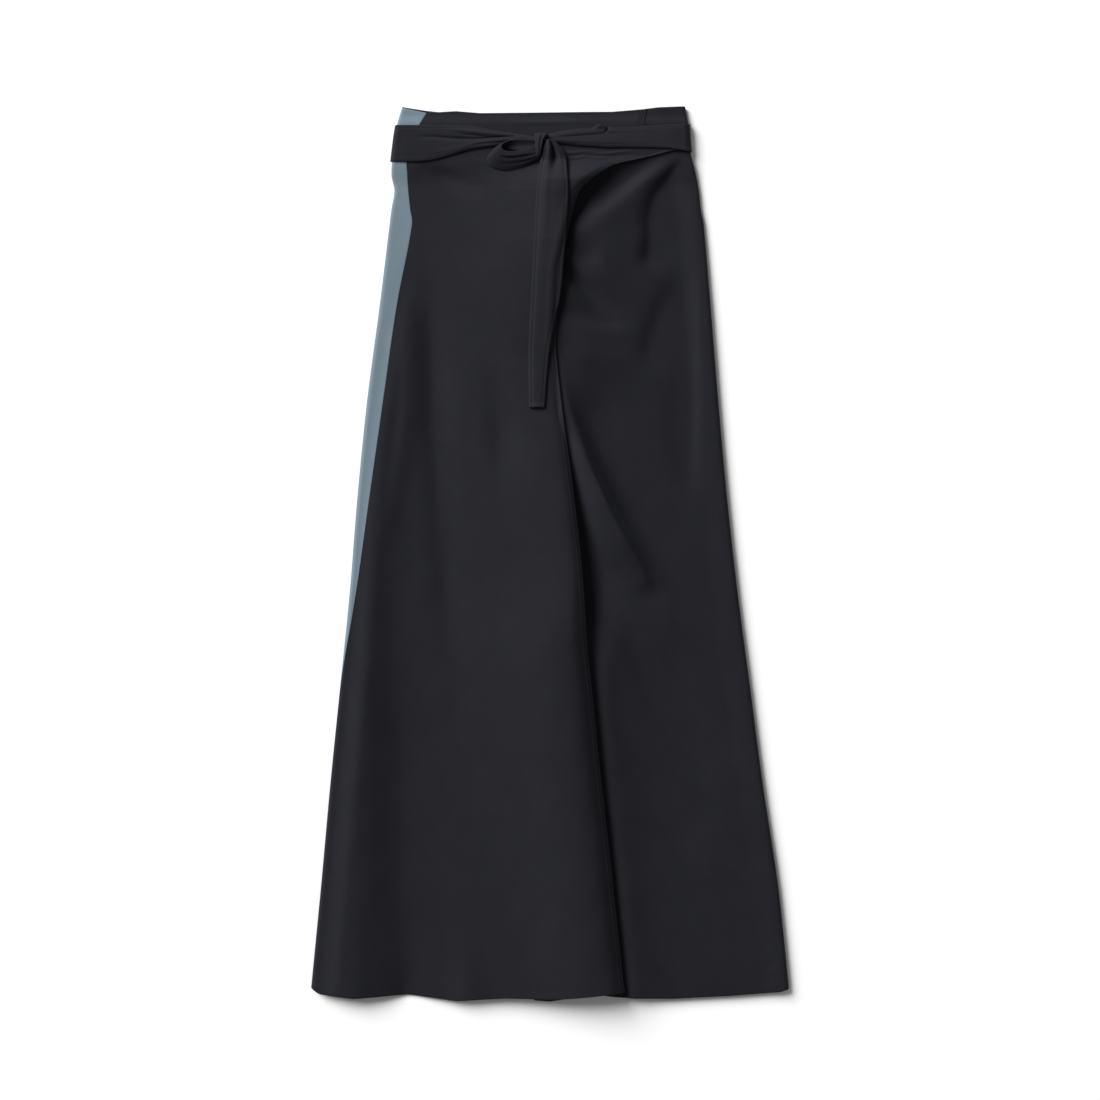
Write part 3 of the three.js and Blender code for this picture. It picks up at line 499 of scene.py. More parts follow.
def cloth_shell(name, middle, half, cut, material):
    """A closed wall of cloth round a grid of middle points, with its edges rounded. half is half the
    wall, and cut is each point's place on the flat cloth, which the weave follows."""
    rows, cols = middle.shape[:2]
    normals = grid_normals(middle)
    half = np.broadcast_to(np.asarray(half, dtype=float), (rows, cols))
    index = np.arange(rows * cols).reshape(rows, cols)
    rim = np.concatenate([index[0, :-1], index[:-1, -1], index[-1, :0:-1], index[:0:-1, 0]])
    flat_middle, flat_normals = middle.reshape(-1, 3), normals.reshape(-1, 3)
    thick = half.reshape(-1, 1)
    ahead = flat_middle[np.roll(rim, -1)] - flat_middle[np.roll(rim, 1)]
    out = np.cross(flat_normals[rim], ahead)
    out /= np.linalg.norm(out, axis=1, keepdims=True)
    inward = flat_middle[index[rows // 2, cols // 2]] - flat_middle[rim]
    if np.sum(out * inward) > 0:
        out = -out
    layers = [flat_middle + flat_normals * thick, flat_middle - flat_normals * thick]
    for turn in (45, 0, -45):
        angle = math.radians(turn)
        layers.append(flat_middle[rim]
                      + (out * math.cos(angle) + flat_normals[rim] * math.sin(angle)) * thick[rim])
    vertices = np.concatenate(layers)
    count = rows * cols
    quads = np.stack([index[:-1, :-1], index[:-1, 1:], index[1:, 1:], index[1:, :-1]], axis=-1)
    quads = quads.reshape(-1, 4)
    faces = [quads[:, ::-1], quads + count]
    rings = [rim] + [2 * count + k * len(rim) + np.arange(len(rim)) for k in range(3)] + [rim + count]
    for upper, lower in zip(rings[:-1], rings[1:]):
        faces.append(np.stack([upper, np.roll(upper, -1), np.roll(lower, -1), lower], axis=-1))
    faces = np.concatenate(faces)
    corners = vertices[faces]
    size = np.sum(np.cross(corners[:, 0], corners[:, 1]) * corners[:, 2]
                  + np.cross(corners[:, 0], corners[:, 2]) * corners[:, 3])
    if size < 0:
        faces = faces[:, ::-1]
    vertices = (vertices - (*OUTLINE_CENTRE, 0)) * MM
    mesh = bpy.data.meshes.new(name)
    mesh.from_pydata(vertices.tolist(), [], faces.tolist())
    places = np.concatenate([cut.reshape(-1, 2)] * 2 + [cut.reshape(-1, 2)[rim]] * 3) * MM
    layer = mesh.uv_layers.new(name="cut")
    layer.data.foreach_set("uv", places[faces.ravel()].ravel())
    mesh.polygons.foreach_set("use_smooth", np.ones(len(faces), dtype=bool))
    mesh.materials.append(material)
    mesh.update()
    piece = bpy.data.objects.new(name, mesh)
    bpy.context.collection.objects.link(piece)
    return piece


def weave_group():
    """Woven cloth from its place on the cut, in metres: how the threads lie, uneven threads, soft
    clouds, and the normal that the threads give."""
    group = bpy.data.node_groups.new("woven cloth", "ShaderNodeTree")
    for label, kind, value in (("Thread", "NodeSocketFloat", 0.0006), ("Relief", "NodeSocketFloat", 0.0001),
                               ("Diagonal", "NodeSocketFloat", 1.0)):
        group.interface.new_socket(label, in_out="INPUT", socket_type=kind).default_value = value
    for label, kind in (("Threads", "NodeSocketFloat"), ("Slubs", "NodeSocketFloat"),
                        ("Clouds", "NodeSocketFloat"), ("Normal", "NodeSocketVector")):
        group.interface.new_socket(label, in_out="OUTPUT", socket_type=kind)
    nodes, links = group.nodes, group.links
    inputs, outputs = nodes.new("NodeGroupInput"), nodes.new("NodeGroupOutput")

    def math_node(operation, first, second=None):
        node = nodes.new("ShaderNodeMath")
        node.operation = operation
        for socket, value in zip(node.inputs, (first, second)):
            if isinstance(value, (int, float)):
                socket.default_value = value
            elif value is not None:
                links.new(value, socket)
        return node.outputs[0]

    def noise(scale, detail):
        mapping = nodes.new("ShaderNodeMapping")
        mapping.inputs["Scale"].default_value = scale
        links.new(cut.outputs["UV"], mapping.inputs["Vector"])
        node = nodes.new("ShaderNodeTexNoise")
        node.inputs["Scale"].default_value = 1
        node.inputs["Detail"].default_value = detail
        links.new(mapping.outputs["Vector"], node.inputs["Vector"])
        return node.outputs["Fac"]

    cut = nodes.new("ShaderNodeUVMap")
    cut.uv_map = "cut"
    split = nodes.new("ShaderNodeSeparateXYZ")
    links.new(cut.outputs["UV"], split.inputs[0])
    turns = math_node("DIVIDE", 2 * math.pi, inputs.outputs["Thread"])
    warp = math_node("MULTIPLY", split.outputs["X"], turns)
    weft = math_node("MULTIPLY", split.outputs["Y"], turns)
    slanted = math_node("MULTIPLY", weft, inputs.outputs["Diagonal"])
    rib = math_node("SINE", math_node("ADD", warp, slanted))
    cross = math_node("SINE", weft)
    threads = math_node("ADD", math_node("MULTIPLY", rib, 0.3), math_node("MULTIPLY", cross, 0.2))
    threads = math_node("ADD", threads, 0.5)
    slubs = math_node("MULTIPLY", math_node("ADD", noise((900, 60, 1), 2), noise((50, 1100, 1), 2)), 0.5)
    links.new(threads, outputs.inputs["Threads"])
    links.new(slubs, outputs.inputs["Slubs"])
    links.new(noise((40, 26, 1), 4), outputs.inputs["Clouds"])
    bump = nodes.new("ShaderNodeBump")
    links.new(inputs.outputs["Relief"], bump.inputs["Distance"])
    links.new(math_node("ADD", threads, slubs), bump.inputs["Height"])
    links.new(bump.outputs["Normal"], outputs.inputs["Normal"])
    return group


WEAVE = weave_group()


def cloth_material(name, deep, bright, thread, relief, diagonal, sheen):
    """Cloth whose colour moves between two close tones with its threads and soft clouds."""
    material = bpy.data.materials.new(name)
    material.use_nodes = True
    nodes, links = material.node_tree.nodes, material.node_tree.links
    shader = nodes["Principled BSDF"]
    weave = nodes.new("ShaderNodeGroup")
    weave.node_tree = WEAVE
    weave.inputs["Thread"].default_value = thread
    weave.inputs["Relief"].default_value = relief
    weave.inputs["Diagonal"].default_value = diagonal
    mixed = nodes.new("ShaderNodeMath")
    mixed.operation = "MULTIPLY_ADD"
    mixed.inputs[1].default_value = 0.45
    links.new(weave.outputs["Threads"], mixed.inputs[0])
    halved = nodes.new("ShaderNodeMath")
    halved.operation = "MULTIPLY"
    halved.inputs[1].default_value = 0.5
    spread = nodes.new("ShaderNodeMath")
    spread.operation = "ADD"
    links.new(weave.outputs["Slubs"], spread.inputs[0])
    links.new(weave.outputs["Clouds"], spread.inputs[1])
    links.new(spread.outputs[0], halved.inputs[0])
    links.new(halved.outputs[0], mixed.inputs[2])
    colour = nodes.new("ShaderNodeMix")
    colour.data_type = "RGBA"
    colour.inputs["A"].default_value = deep
    colour.inputs["B"].default_value = bright
    links.new(mixed.outputs[0], colour.inputs["Factor"])
    links.new(colour.outputs["Result"], shader.inputs["Base Color"])
    links.new(weave.outputs["Normal"], shader.inputs["Normal"])
    shader.inputs["Roughness"].default_value = 0.62
    shader.inputs["Specular IOR Level"].default_value = 0.08
    shader.inputs["Sheen Weight"].default_value = sheen
    shader.inputs["Sheen Roughness"].default_value = 0.4
    shader.inputs["Sheen Tint"].default_value = (0.62, 0.66, 0.8, 1)
    return material


BLUE_CLOTH = cloth_material("blue cloth", (0.098, 0.138, 0.170, 1), (0.146, 0.194, 0.232, 1),
                            thread=0.0007, relief=0.00008, diagonal=0, sheen=0.1)


def row_levels(spans):
    """Row levels from the waist to the hem, in steps of each span's size."""
    levels = [spans[0][0]]
    for start, end, step in spans:
        count = max(round((start - end) / step), 1)
        levels.extend(np.linspace(start, end, count + 1)[1:])
    return np.array(levels)


ROW_LEVELS = row_levels([(ROW_TOP, 376, 1.3), (376, 160, 2.4), (160, -60, 3), (-60, -300, 4.5),
                         (-300, -430, 6), (-430, ROW_HEM, 3)])


def near_edges(y):
    """How much a row follows the waist edge, and how much the hem."""
    return smooth_step(ROW_TOP - 10, ROW_TOP, y), 1 - smooth_step(ROW_HEM, ROW_HEM + 90, y)


def bend_to_edges(y, x, waist, hem):
    """Bends the first and last rows on to the waist edge and the hem."""
    near_top, near_hem = near_edges(y)
    return (y + (straight(WAIST_EDGE, "x", waist, x) - ROW_TOP) * near_top
            + (straight(HEM_EDGE, "x", hem, x) - ROW_HEM) * near_hem)


SEAM_UNDER = 14
TURN_STEPS = 9
LEAST_STEP = 0.35


def back_panel():
    flat_columns, strip_columns = 40, 14

    def round_at(level):
        radius = turn_radius(level)
        quarter = math.pi * radius / 2
        width = curve(LEVELS, "y", "right", level) - curve(LEVELS, "y", "left", level)
        seam = curve(LEVELS, "y", "inset", level)
        far_end = SEAM_UNDER + SEAM_GAP + 2 * (radius - quarter) - width
        flat = far_end[:, None] + (-quarter - far_end)[:, None] * np.linspace(0, 1, flat_columns)
        turn = quarter[:, None] * np.linspace(-1, 1, TURN_STEPS)[1:]
        strip = quarter[:, None] + (seam - quarter)[:, None] * np.linspace(0, 1, strip_columns)[1:]
        places = np.concatenate([flat, turn, strip], axis=1)
        last = places.shape[1] - 1
        return np.minimum(places, seam[:, None] - (last - np.arange(last + 1)) * LEAST_STEP)

    places = round_at(ROW_LEVELS)
    level = np.broadcast_to(ROW_LEVELS[:, None], places.shape)
    x = off_sheet(LEFT_SHEET, places, level)[..., 0]
    y = np.where(places > 0, bend_to_edges(level, x, "front", "back"),
                 bend_to_edges(level, x, "back", "back"))
    middle = off_sheet(LEFT_SHEET, places, y)
    cut = np.stack([places, y], axis=-1)
    return cloth_shell("back_panel_cloth", middle, CLOTH_WALL / 2, cut, BLUE_CLOTH)


back = back_panel()
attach(back, "root")
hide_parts("back_panel")

# The facing inside the back waist: a dark strip that keeps the waist edge firm. Only a sliver of it
# shows past the over front at the top left.
FACING_WALL = 1.0
FACING_DEPTH = 27
DARK_CLOTH = cloth_material("dark cloth", (0.0062, 0.0064, 0.0090, 1), (0.0142, 0.0145, 0.0188, 1),
                            thread=0.00055, relief=0.0001, diagonal=1, sheen=0.1)


def back_facing():
    y = row_levels([(ROW_TOP - SEAM_GAP, ROW_TOP - FACING_DEPTH, 3)])[:, None]
    left = curve(LEVELS, "y", "left", y) + 4.5
    right = curve(LEVELS, "y", "right", y) - 9
    x = left + (right - left) * np.linspace(0, 1, 60) ** 1.4
    y = np.broadcast_to(y, x.shape)
    stand = CLOTH_WALL + SEAM_GAP + FACING_WALL / 2 + lift(y)
    middle = np.stack([x, bend_to_edges(y, x, "back", "back"), stand], axis=-1)
    return cloth_shell("back_facing_cloth", middle, FACING_WALL / 2, middle[..., :2], DARK_CLOTH)


facing = back_facing()
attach(facing, "root")
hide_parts("back_facing")

# The under front: dark cloth from its own free edge, hidden under the over front, to the right fold
# and round it to the back's seam. The tie pulls it into swags that fall from the waist.


def under_front():
    front_columns = 112
    radius = turn_radius(ROW_LEVELS)
    quarter = math.pi * radius / 2
    start = round_of(RIGHT_SHEET, straight(UNDER_EDGE, "y", "x", ROW_LEVELS), ROW_LEVELS)
    front = start[:, None] + (quarter - start)[:, None] * np.linspace(0, 1, front_columns)
    turn = quarter[:, None] * np.linspace(1, -1, TURN_STEPS)[1:]
    under = -quarter[:, None] + (quarter - SEAM_UNDER)[:, None] * np.linspace(0, 1, 5)[1:]
    places = np.concatenate([front, turn, under], axis=1)
    level = np.broadcast_to(ROW_LEVELS[:, None], places.shape)
    x = off_sheet(RIGHT_SHEET, places, level)[..., 0]
    y = np.where(places > 0, bend_to_edges(level, x, "front", "under"),
                 bend_to_edges(level, x, "back", "under"))
    middle = off_sheet(RIGHT_SHEET, places, y)
    cut = np.stack([-places, y], axis=-1)
    return cloth_shell("under_front_cloth", middle, CLOTH_WALL / 2, cut, DARK_CLOTH)


under = under_front()
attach(under, "root")
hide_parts("under_front")

# The over front: dark cloth from the front seam to the curved free edge. That edge is turned and
# stitched, and stands off the under front where the tie pulls the cloth up.
FOLD_SEAM_GAP = 0.4
EDGE_TURN = 4.4
EDGE_COLUMNS = 9
STITCHES_IN = (2, 7)
WAIST_STITCH_ROW = 3
stitch_lines = []


def over_front():
    front_columns = 110
    lines = np.arange(len(FREE_EDGE["leaves"]), dtype=float)
    line = np.interp(-ROW_LEVELS, -FREE_EDGE["leaves"], lines)
    end_x, end_y = along_rows(FREE_EDGE["x"], line), along_rows(FREE_EDGE["y"], line)
    quarter = math.pi * turn_radius(ROW_LEVELS) / 2
    seam = curve(LEVELS, "y", "inset", ROW_LEVELS) + FOLD_SEAM_GAP
    end = round_of(LEFT_SHEET, end_x, end_y)
    turn = quarter[:, None] * np.linspace(-1, 1, TURN_STEPS)
    turned_edge = EDGE_TURN * np.linspace(1.2, 0, EDGE_COLUMNS)
    wide = end - turned_edge[0] - quarter
    front = quarter[:, None] + wide[:, None] * np.linspace(0, 1, front_columns)[1:-1]
    places = np.concatenate([turn, front, end[:, None] - turned_edge], axis=1)
    places = np.maximum(places, seam[:, None] + np.arange(places.shape[1]) * LEAST_STEP)
    t = (places - seam[:, None]) / (end - seam)[:, None]
    y = ROW_LEVELS[:, None] + (end_y - ROW_LEVELS)[:, None] * t
    x = off_sheet(LEFT_SHEET, places, y)[..., 0]
    near_top, near_hem = near_edges(ROW_LEVELS[:, None])
    top_line = FREE_EDGE["leaves"][0] * (1 - t) + FREE_EDGE["y"][0] * t
    hem_line = FREE_EDGE["leaves"][-1] * (1 - t) + FREE_EDGE["y"][-1] * t
    y = (y + (straight(WAIST_EDGE, "x", "front", x) - top_line) * near_top
         + (straight(HEM_EDGE, "x", "over", x) - hem_line) * near_hem)
    middle = off_sheet(LEFT_SHEET, places, y)
    inside = end[:, None] - places
    doubled = 1 - smooth_step(0.9 * EDGE_TURN, 1.15 * EDGE_TURN, inside)
    sewn = np.exp(-((inside - 0.86 * EDGE_TURN) / 0.5)**2)
    half = CLOTH_WALL / 2 * (1 + 0.5 * doubled - 0.45 * sewn)
    pressed_corner = smooth_step(425, 440, y) * (1 - smooth_step(0, 9, inside))
    half = half * (1 - 0.6 * pressed_corner)
    middle[..., 2] -= 0.75 * pressed_corner
    normals = grid_normals(middle)
    normals *= np.sign(np.sum(normals[..., 2]))
    surface = middle + normals * half[..., None]
    stitch_lines.extend(surface[:, -column] for column in STITCHES_IN)
    stitch_lines.append(surface[WAIST_STITCH_ROW, TURN_STEPS + 4:-2])
    cut = np.stack([places, y], axis=-1)
    return cloth_shell("over_front_cloth", middle, half, cut, DARK_CLOTH)


over = over_front()
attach(over, "root")
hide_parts("over_front")

# The tie: one long doubled strap of the dark cloth. It passes under the back, comes round both side
# folds as two wings, and is knotted off the middle with one drooping loop and one free end.
TIE_WALL = 1.6
WING_UNDER = 16
TIE_MIDDLE = 420
WING_STITCH_ROW = 3


def tie_back():
    t = np.linspace(0, 1, 50)[None, :]
    v = np.linspace(0, 1, 13)[:, None]
    top, bottom = 441 + t, 405 + 9 * t
    y = top + (bottom - top) * v
    left = off_sheet(LEFT_SHEET, np.full(y.shape, -WING_UNDER), y)[..., 0] + SEAM_GAP
    right = off_sheet(RIGHT_SHEET, np.full(y.shape, -WING_UNDER), y)[..., 0] - SEAM_GAP
    x = left + (right - left) * t
    middle = np.stack([x, y, np.full(y.shape, TIE_WALL / 2)], axis=-1)
    return cloth_shell("tie_back_cloth", middle, TIE_WALL / 2, middle[..., :2], DARK_CLOTH)


LEFT_WING = columns("x top bottom dome", [
    (-164, 441, 405, 0.1),
    (-134, 441, 405, 0.3),
    (-113, 441, 408, 0.4),
    (-82, 440, 417, 0.8),
    (-52, 434, 421, 1.3),
    (-35, 431.5, 422.5, 1.5),
    (-12, 428, 422, 1.6),
])
RIGHT_WING = columns("x top bottom dome", [
    (-6, 430, 424.5, 1.6),
    (10, 434, 423, 1.4),
    (31, 437, 420.5, 1),
    (44, 438, 420, 0.8),
    (51, 441, 419.5, 0.8),
    (58, 441, 419, 0.8),
    (64, 438.5, 419, 0.7),
    (93, 439, 419, 0.5),
    (123, 441, 418, 0.3),
    (148, 442, 414, 0.1),
])
LEFT_CREASES = {
    "upper crease": [(-146, 429, 0, 1.6, 1.6), (-124, 430, -0.9, 1.2, 2.4), (-100, 428.5, -1.6, 1.1, 2.6),
                     (-72, 428, -1.8, 1.1, 2.6), (-44, 430, -1, 1, 2), (-24, 428, 0, 1, 1.6)],
    "top fold": [(-112, 438.5, 0, 1.6, 1.6), (-92, 436, 0.8, 1.8, 1.6), (-70, 433.5, 1.2, 1.6, 1.4),
                 (-40, 430.5, 0.8, 1.4, 1.4)],
    "under the top fold": [(-100, 433, 0, 1.1, 1.4), (-78, 431, -1.1, 1.1, 1.5), (-52, 429, 0, 1.1, 1.4)],
    "lower ridge": [(-140, 411, 0, 3.4, 3.4), (-106, 415, 0.6, 3, 3.4), (-78, 421, 0.9, 2.2, 2.8),
                    (-48, 425.5, 0.7, 1.6, 2), (-26, 426, 0, 1.6, 1.6)],
    "lower crease": [(-90, 418, 0, 1.1, 1.4), (-70, 422.5, -1.2, 1.1, 1.6), (-40, 425, -0.6, 1, 1.4),
                     (-24, 425, 0, 1, 1.4)],
    "end wrinkle": [(-158, 436, 0, 2, 2), (-153, 424, -0.6, 2, 3), (-155, 411, 0, 2, 2)],
}
RIGHT_CREASES = {
    "upper crease": [(2, 428.5, 0, 1.1, 1.5), (24, 430, -1.1, 1.1, 1.8), (52, 432, -0.8, 1.2, 2.2),
                     (96, 434, 0, 1.6, 2)],
    "lower ridge": [(6, 425.5, 0.4, 1.6, 2), (40, 424, 0.6, 2.2, 2.4), (80, 424, 0.3, 2.6, 2.6),
                    (120, 424, 0, 3, 3)],
    "crumple": [(45, 437, 0, 2, 2), (51, 441, 2.8, 2.4, 2.4), (56, 438, 1.4, 2, 2), (54, 434, 0, 1.6, 1.6)],
    "beside the crumple": [(55, 443, -1.8, 1.2, 1.2), (59.5, 439.5, -1.8, 1.2, 1.2),
                           (57, 434, -0.8, 1.2, 1.2), (50, 433, 0, 1.2, 1.2)],
    "end fold": [(128, 436, 0, 2, 2), (140, 430, -0.7, 2, 3), (136, 420, 0, 2, 2)],
}


def wing(name, sheet, table, creases, step_up):
    knot_end = table["x"][-1] if sheet["side"] < 0 else table["x"][0]
    quarter = math.pi * turn_radius(TIE_MIDDLE) / 2
    end = round_of(sheet, knot_end, TIE_MIDDLE)
    places = np.concatenate([[-WING_UNDER], quarter * np.linspace(-1, 1, 13),
                             np.linspace(quarter, end, 130)[1:]])
    x_middle = off_sheet(sheet, places, np.full(places.shape, float(TIE_MIDDLE)))[:, 0]
    top, bottom = curve(table, "x", "top", x_middle), curve(table, "x", "bottom", x_middle)
    dome = curve(table, "x", "dome", x_middle)
    v = np.linspace(0, 1, 33)[:, None]
    y = top + (bottom - top) * v
    places = np.broadcast_to(places, y.shape)
    cloth = off_sheet(sheet, places, y)
    normals = grid_normals(cloth)
    if np.sum(normals[..., 2] * (places > quarter)) < 0:
        normals = -normals
    on_front = smooth_step(quarter, quarter + 12, places)
    round_section = (1 - np.abs(2 * v - 1) ** 3) * dome * on_front
    relief = folds_height(creases, cloth[..., 0], y) * on_front
    half = TIE_WALL / 2 + 0.35 * round_section
    stand = CLOTH_WALL / 2 + SEAM_GAP + half + 0.65 * round_section + relief + step_up(places)
    cut = np.stack([places, y], axis=-1)
    surface = cloth + normals * (stand + half)[..., None]
    seen = slice(6, -4)
    stitch_lines.extend(surface[row, seen] for row in (WING_STITCH_ROW, -1 - WING_STITCH_ROW))
    return cloth_shell(name, cloth + normals * stand[..., None], half, cut, DARK_CLOTH)


KNOT_SEAT = 11.3
KNOT = columns("y x half height", [
    (432.8, -9.2, 2, 3),
    (432, -9.2, 6.4, 5.6),
    (429, -9.8, 6, 7.2),
    (425, -10.9, 4.7, 7.8),
    (419, -11.4, 3.5, 8),
    (413, -11.6, 2.5, 7.2),
    (409, -11.7, 1.5, 5.4),
    (408.2, -11.7, 0.6, 2.5),
])


def knot():
    place = np.linspace(0, len(KNOT["y"]) - 1, 60)[:, None]
    angle = np.linspace(0, 2 * math.pi, 49)[None, :-1]
    half, height = along_rows(KNOT["half"], place), along_rows(KNOT["height"], place)
    squared = 0.62
    side = np.sign(np.cos(angle)) * np.abs(np.cos(angle))**squared
    up = np.sign(np.sin(angle)) * np.abs(np.sin(angle))**squared
    pleats = 0.5 * np.cos(2.2 * math.pi * side + 1.2) * (up > 0) * smooth_step(0.5, 2, place)
    x = along_rows(KNOT["x"], place) + half * side
    y = along_rows(KNOT["y"], place) + 0 * angle
    z = KNOT_SEAT + height / 2 * (1 + up) + pleats * np.abs(up)
    rows, cols = x.shape
    vertices = (np.stack([x, y, z], axis=-1).reshape(-1, 3) - (*OUTLINE_CENTRE, 0)) * MM
    index = np.arange(rows * cols).reshape(rows, cols)
    turned = np.roll(index, -1, axis=1)
    faces = np.stack([index[:-1], turned[:-1], turned[1:], index[1:]], axis=-1).reshape(-1, 4).tolist()
    faces += [index[0, ::-1].tolist(), index[-1].tolist()]
    mesh = bpy.data.meshes.new("tie_knot_cloth")
    mesh.from_pydata(vertices.tolist(), [], faces)
    layer = mesh.uv_layers.new(name="cut")
    corner = np.zeros(len(mesh.loops), dtype=int)
    mesh.loops.foreach_get("vertex_index", corner)
    layer.data.foreach_set("uv", vertices[corner][:, :2].ravel())
    mesh.polygons.foreach_set("use_smooth", np.ones(len(mesh.polygons), dtype=bool))
    mesh.materials.append(DARK_CLOTH)
    piece = bpy.data.objects.new("tie_knot_cloth", mesh)
    bpy.context.collection.objects.link(piece)
    return piece


# The loop stands on its lower rim and leans over, so that its outer face shows in front and its
# inner face behind the dark opening: a point of each rim for each place along the strap.
LOOP_RIMS = columns("upper_x upper_y upper_z lower_x lower_y lower_z", [
    (-14.5, 424.8, 13.8, -14.5, 416.6, 13.4),
    (-24, 425.6, 14.2, -24, 415.6, 13.4),
    (-33, 425.6, 14.6, -32, 415.2, 12.8),
    (-42, 424.4, 15.8, -43, 416.8, 10.6),
    (-49, 420.6, 17.4, -57, 415, 9.8),
    (-49.6, 416, 17.8, -64, 408.4, 9.8),
    (-45.6, 413, 17.4, -61, 400.6, 9.6),
    (-37.5, 412.9, 16.8, -49, 395.6, 9.4),
    (-26, 414.2, 16, -33, 397, 9.6),
    (-12.6, 414.6, 14.6, -12.6, 405.6, 10.8),
])


def loop():
    place = np.linspace(0, len(LOOP_RIMS["upper_x"]) - 1, 120)[:, None]
    across = np.linspace(0, 1, 31)[None, :]
    upper = np.stack([along_rows(LOOP_RIMS[f"upper_{axis}"], place) for axis in "xyz"], axis=-1)
    lower = np.stack([along_rows(LOOP_RIMS[f"lower_{axis}"], place) for axis in "xyz"], axis=-1)
    middle = upper + (lower - upper) * across[..., None]
    normals = grid_normals(middle)
    if normals[100, 15, 2] < 0:
        normals = -normals

    def crease(at, width, start, full, end):
        """A lengthwise crease across the strap, between places along it."""
        along = smooth_step(start, full, place) * (1 - smooth_step(full + 1, end, place))
        return np.exp(-((across - at) / width)**2) * along

    bulge = 1.4 * np.sin(math.pi * across)
    bulge = bulge - 1.8 * crease(0.3, 0.06, 5.8, 7, 9) - 0.7 * crease(0.62, 0.08, 6.2, 7.2, 9)
    bulge = bulge + 0.8 * crease(0.16, 0.1, 5.2, 6.6, 9)
    middle = middle + normals * bulge[..., None]
    cut = np.stack(np.broadcast_arrays(place * 14, across * 34), axis=-1)
    return cloth_shell("tie_loop_cloth", middle, TIE_WALL / 2, cut, DARK_CLOTH)


TAIL = columns("y left right stand hollow", [
    (425, -3, 3, 6, 2),
    (418, -5.4, 10, 5.4, 6),
    (411, -7.6, 14.4, 4.4, 7),
    (403, -9.6, 16.4, 3, 4),
    (394, -11, 17, 1.6, 0.6),
    (380, -13, 18, 0.5, 0),
    (365, -14, 18, 0, 0),
    (303, -17, 13.5, 0, 0),
    (262, -19, 9.5, 0, 0),
    (250, -19.7, 6.5, 0, 0),
    (210, -21.5, -1, 0, 0),
    (179, -21.5, -4, 0, 0),
    (151, -21, -6, 0, 0),
])
TAIL_TOP = 425
TAIL_END = 151
TAIL_SEAM_IN = 3.4
TAIL_PAST_EDGE = 1.8


def tail_height(x, y, left, right):
    """The middle of the free end, which is pleated at the knot and lies on the over front."""
    v = (x - left) / (right - left)
    pleat = np.exp(-((v - 0.56) / 0.13) ** 2) * curve(TAIL, "y", "hollow", y)
    dome = 1.2 * (1 - np.abs(2 * v - 1) ** 3)
    ridge = 0.9 * np.exp(-((v - 0.3) / 0.12)**2) * smooth_step(270, 420, y)
    sewn = np.exp(-((x - left - TAIL_SEAM_IN) / 0.9)**2) + np.exp(-((right - x - 2) / 0.8)**2)
    ended = np.exp(-((y - TAIL_END - 4.6) / 0.8)**2)
    under_it = over_height(np.minimum(x, free_edge_x(y) - 2), y)
    past_edge = TAIL_PAST_EDGE * smooth_step(-14, -2, x - free_edge_x(y))
    stand = CLOTH_WALL / 2 + SEAM_GAP + TIE_WALL / 2 + 0.5 + curve(TAIL, "y", "stand", y) + past_edge
    return under_it + stand + dome + ridge - pleat - 0.35 * sewn - 0.4 * ended


def tail():
    y = row_levels([(TAIL_TOP, 380, 1.4), (380, 160, 2.6), (160, TAIL_END, 0.8)])[:, None]
    left, right = curve(TAIL, "y", "left", y), curve(TAIL, "y", "right", y)
    x = left + (right - left) * np.linspace(0, 1, 37)
    y = np.broadcast_to(y, x.shape)
    middle = np.stack([x, y, tail_height(x, y, left, right)], axis=-1)

    def sew(line_x, line_y, line_left, line_right):
        height = tail_height(line_x, line_y, line_left, line_right) + TIE_WALL / 2
        stitch_lines.append(np.stack([line_x, line_y, height], axis=-1))

    below_knot = y[:, 0] < 408
    sides = left[below_knot, 0], right[below_knot, 0]
    for line_x in (sides[0] + TAIL_SEAM_IN, sides[1] - 2):
        sew(line_x, y[below_knot, 0], *sides)
    end_left, end_right = sides[0][-1], sides[1][-1]
    for up in (1.4, 4.6):
        line_x = np.linspace(end_left + 1, end_right - 1, 12)
        sew(line_x, np.full(line_x.shape, TAIL_END + up), end_left, end_right)
    cut = np.stack([x - left, y], axis=-1)
    return cloth_shell("tie_tail_cloth", middle, TIE_WALL / 2, cut, DARK_CLOTH)


def corner_step(places):
    """The right wing steps up from the fold on to the corner of the over front."""
    return (LAYER_STEP - PRESSED) * smooth_step(0.5, 6, places)


tie_pieces = {
    "tie_back": (tie_back(), (0.276, 0.036), 0.0087),
    "tie_left_wing": (wing("tie_left_wing_cloth", LEFT_SHEET, LEFT_WING, LEFT_CREASES, lambda p: 0 * p),
                      (0.17, 0.036), 0.0046),
    "tie_right_wing": (wing("tie_right_wing_cloth", RIGHT_SHEET, RIGHT_WING, RIGHT_CREASES, corner_step),
                       (0.175, 0.036), 0.0036),
    "tie_knot": (knot(), None, None),
    "tie_loop": (loop(), (0.13, 0.02), 0.0018),
    "tie_tail": (tail(), (0.275, 0.036), 0.0073),
}
for node, (piece, flat, area) in tie_pieces.items():
    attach(piece, "root")
    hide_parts(node)

# The sewing: rows of short stitches in a thread a shade lighter than the cloth. They hold the turned
# free edge, the waist edge and the edges of the tie.
STITCH_LENGTH = 0.0021
STITCH_PITCH = 0.003
THREAD_HALF = 0.00024


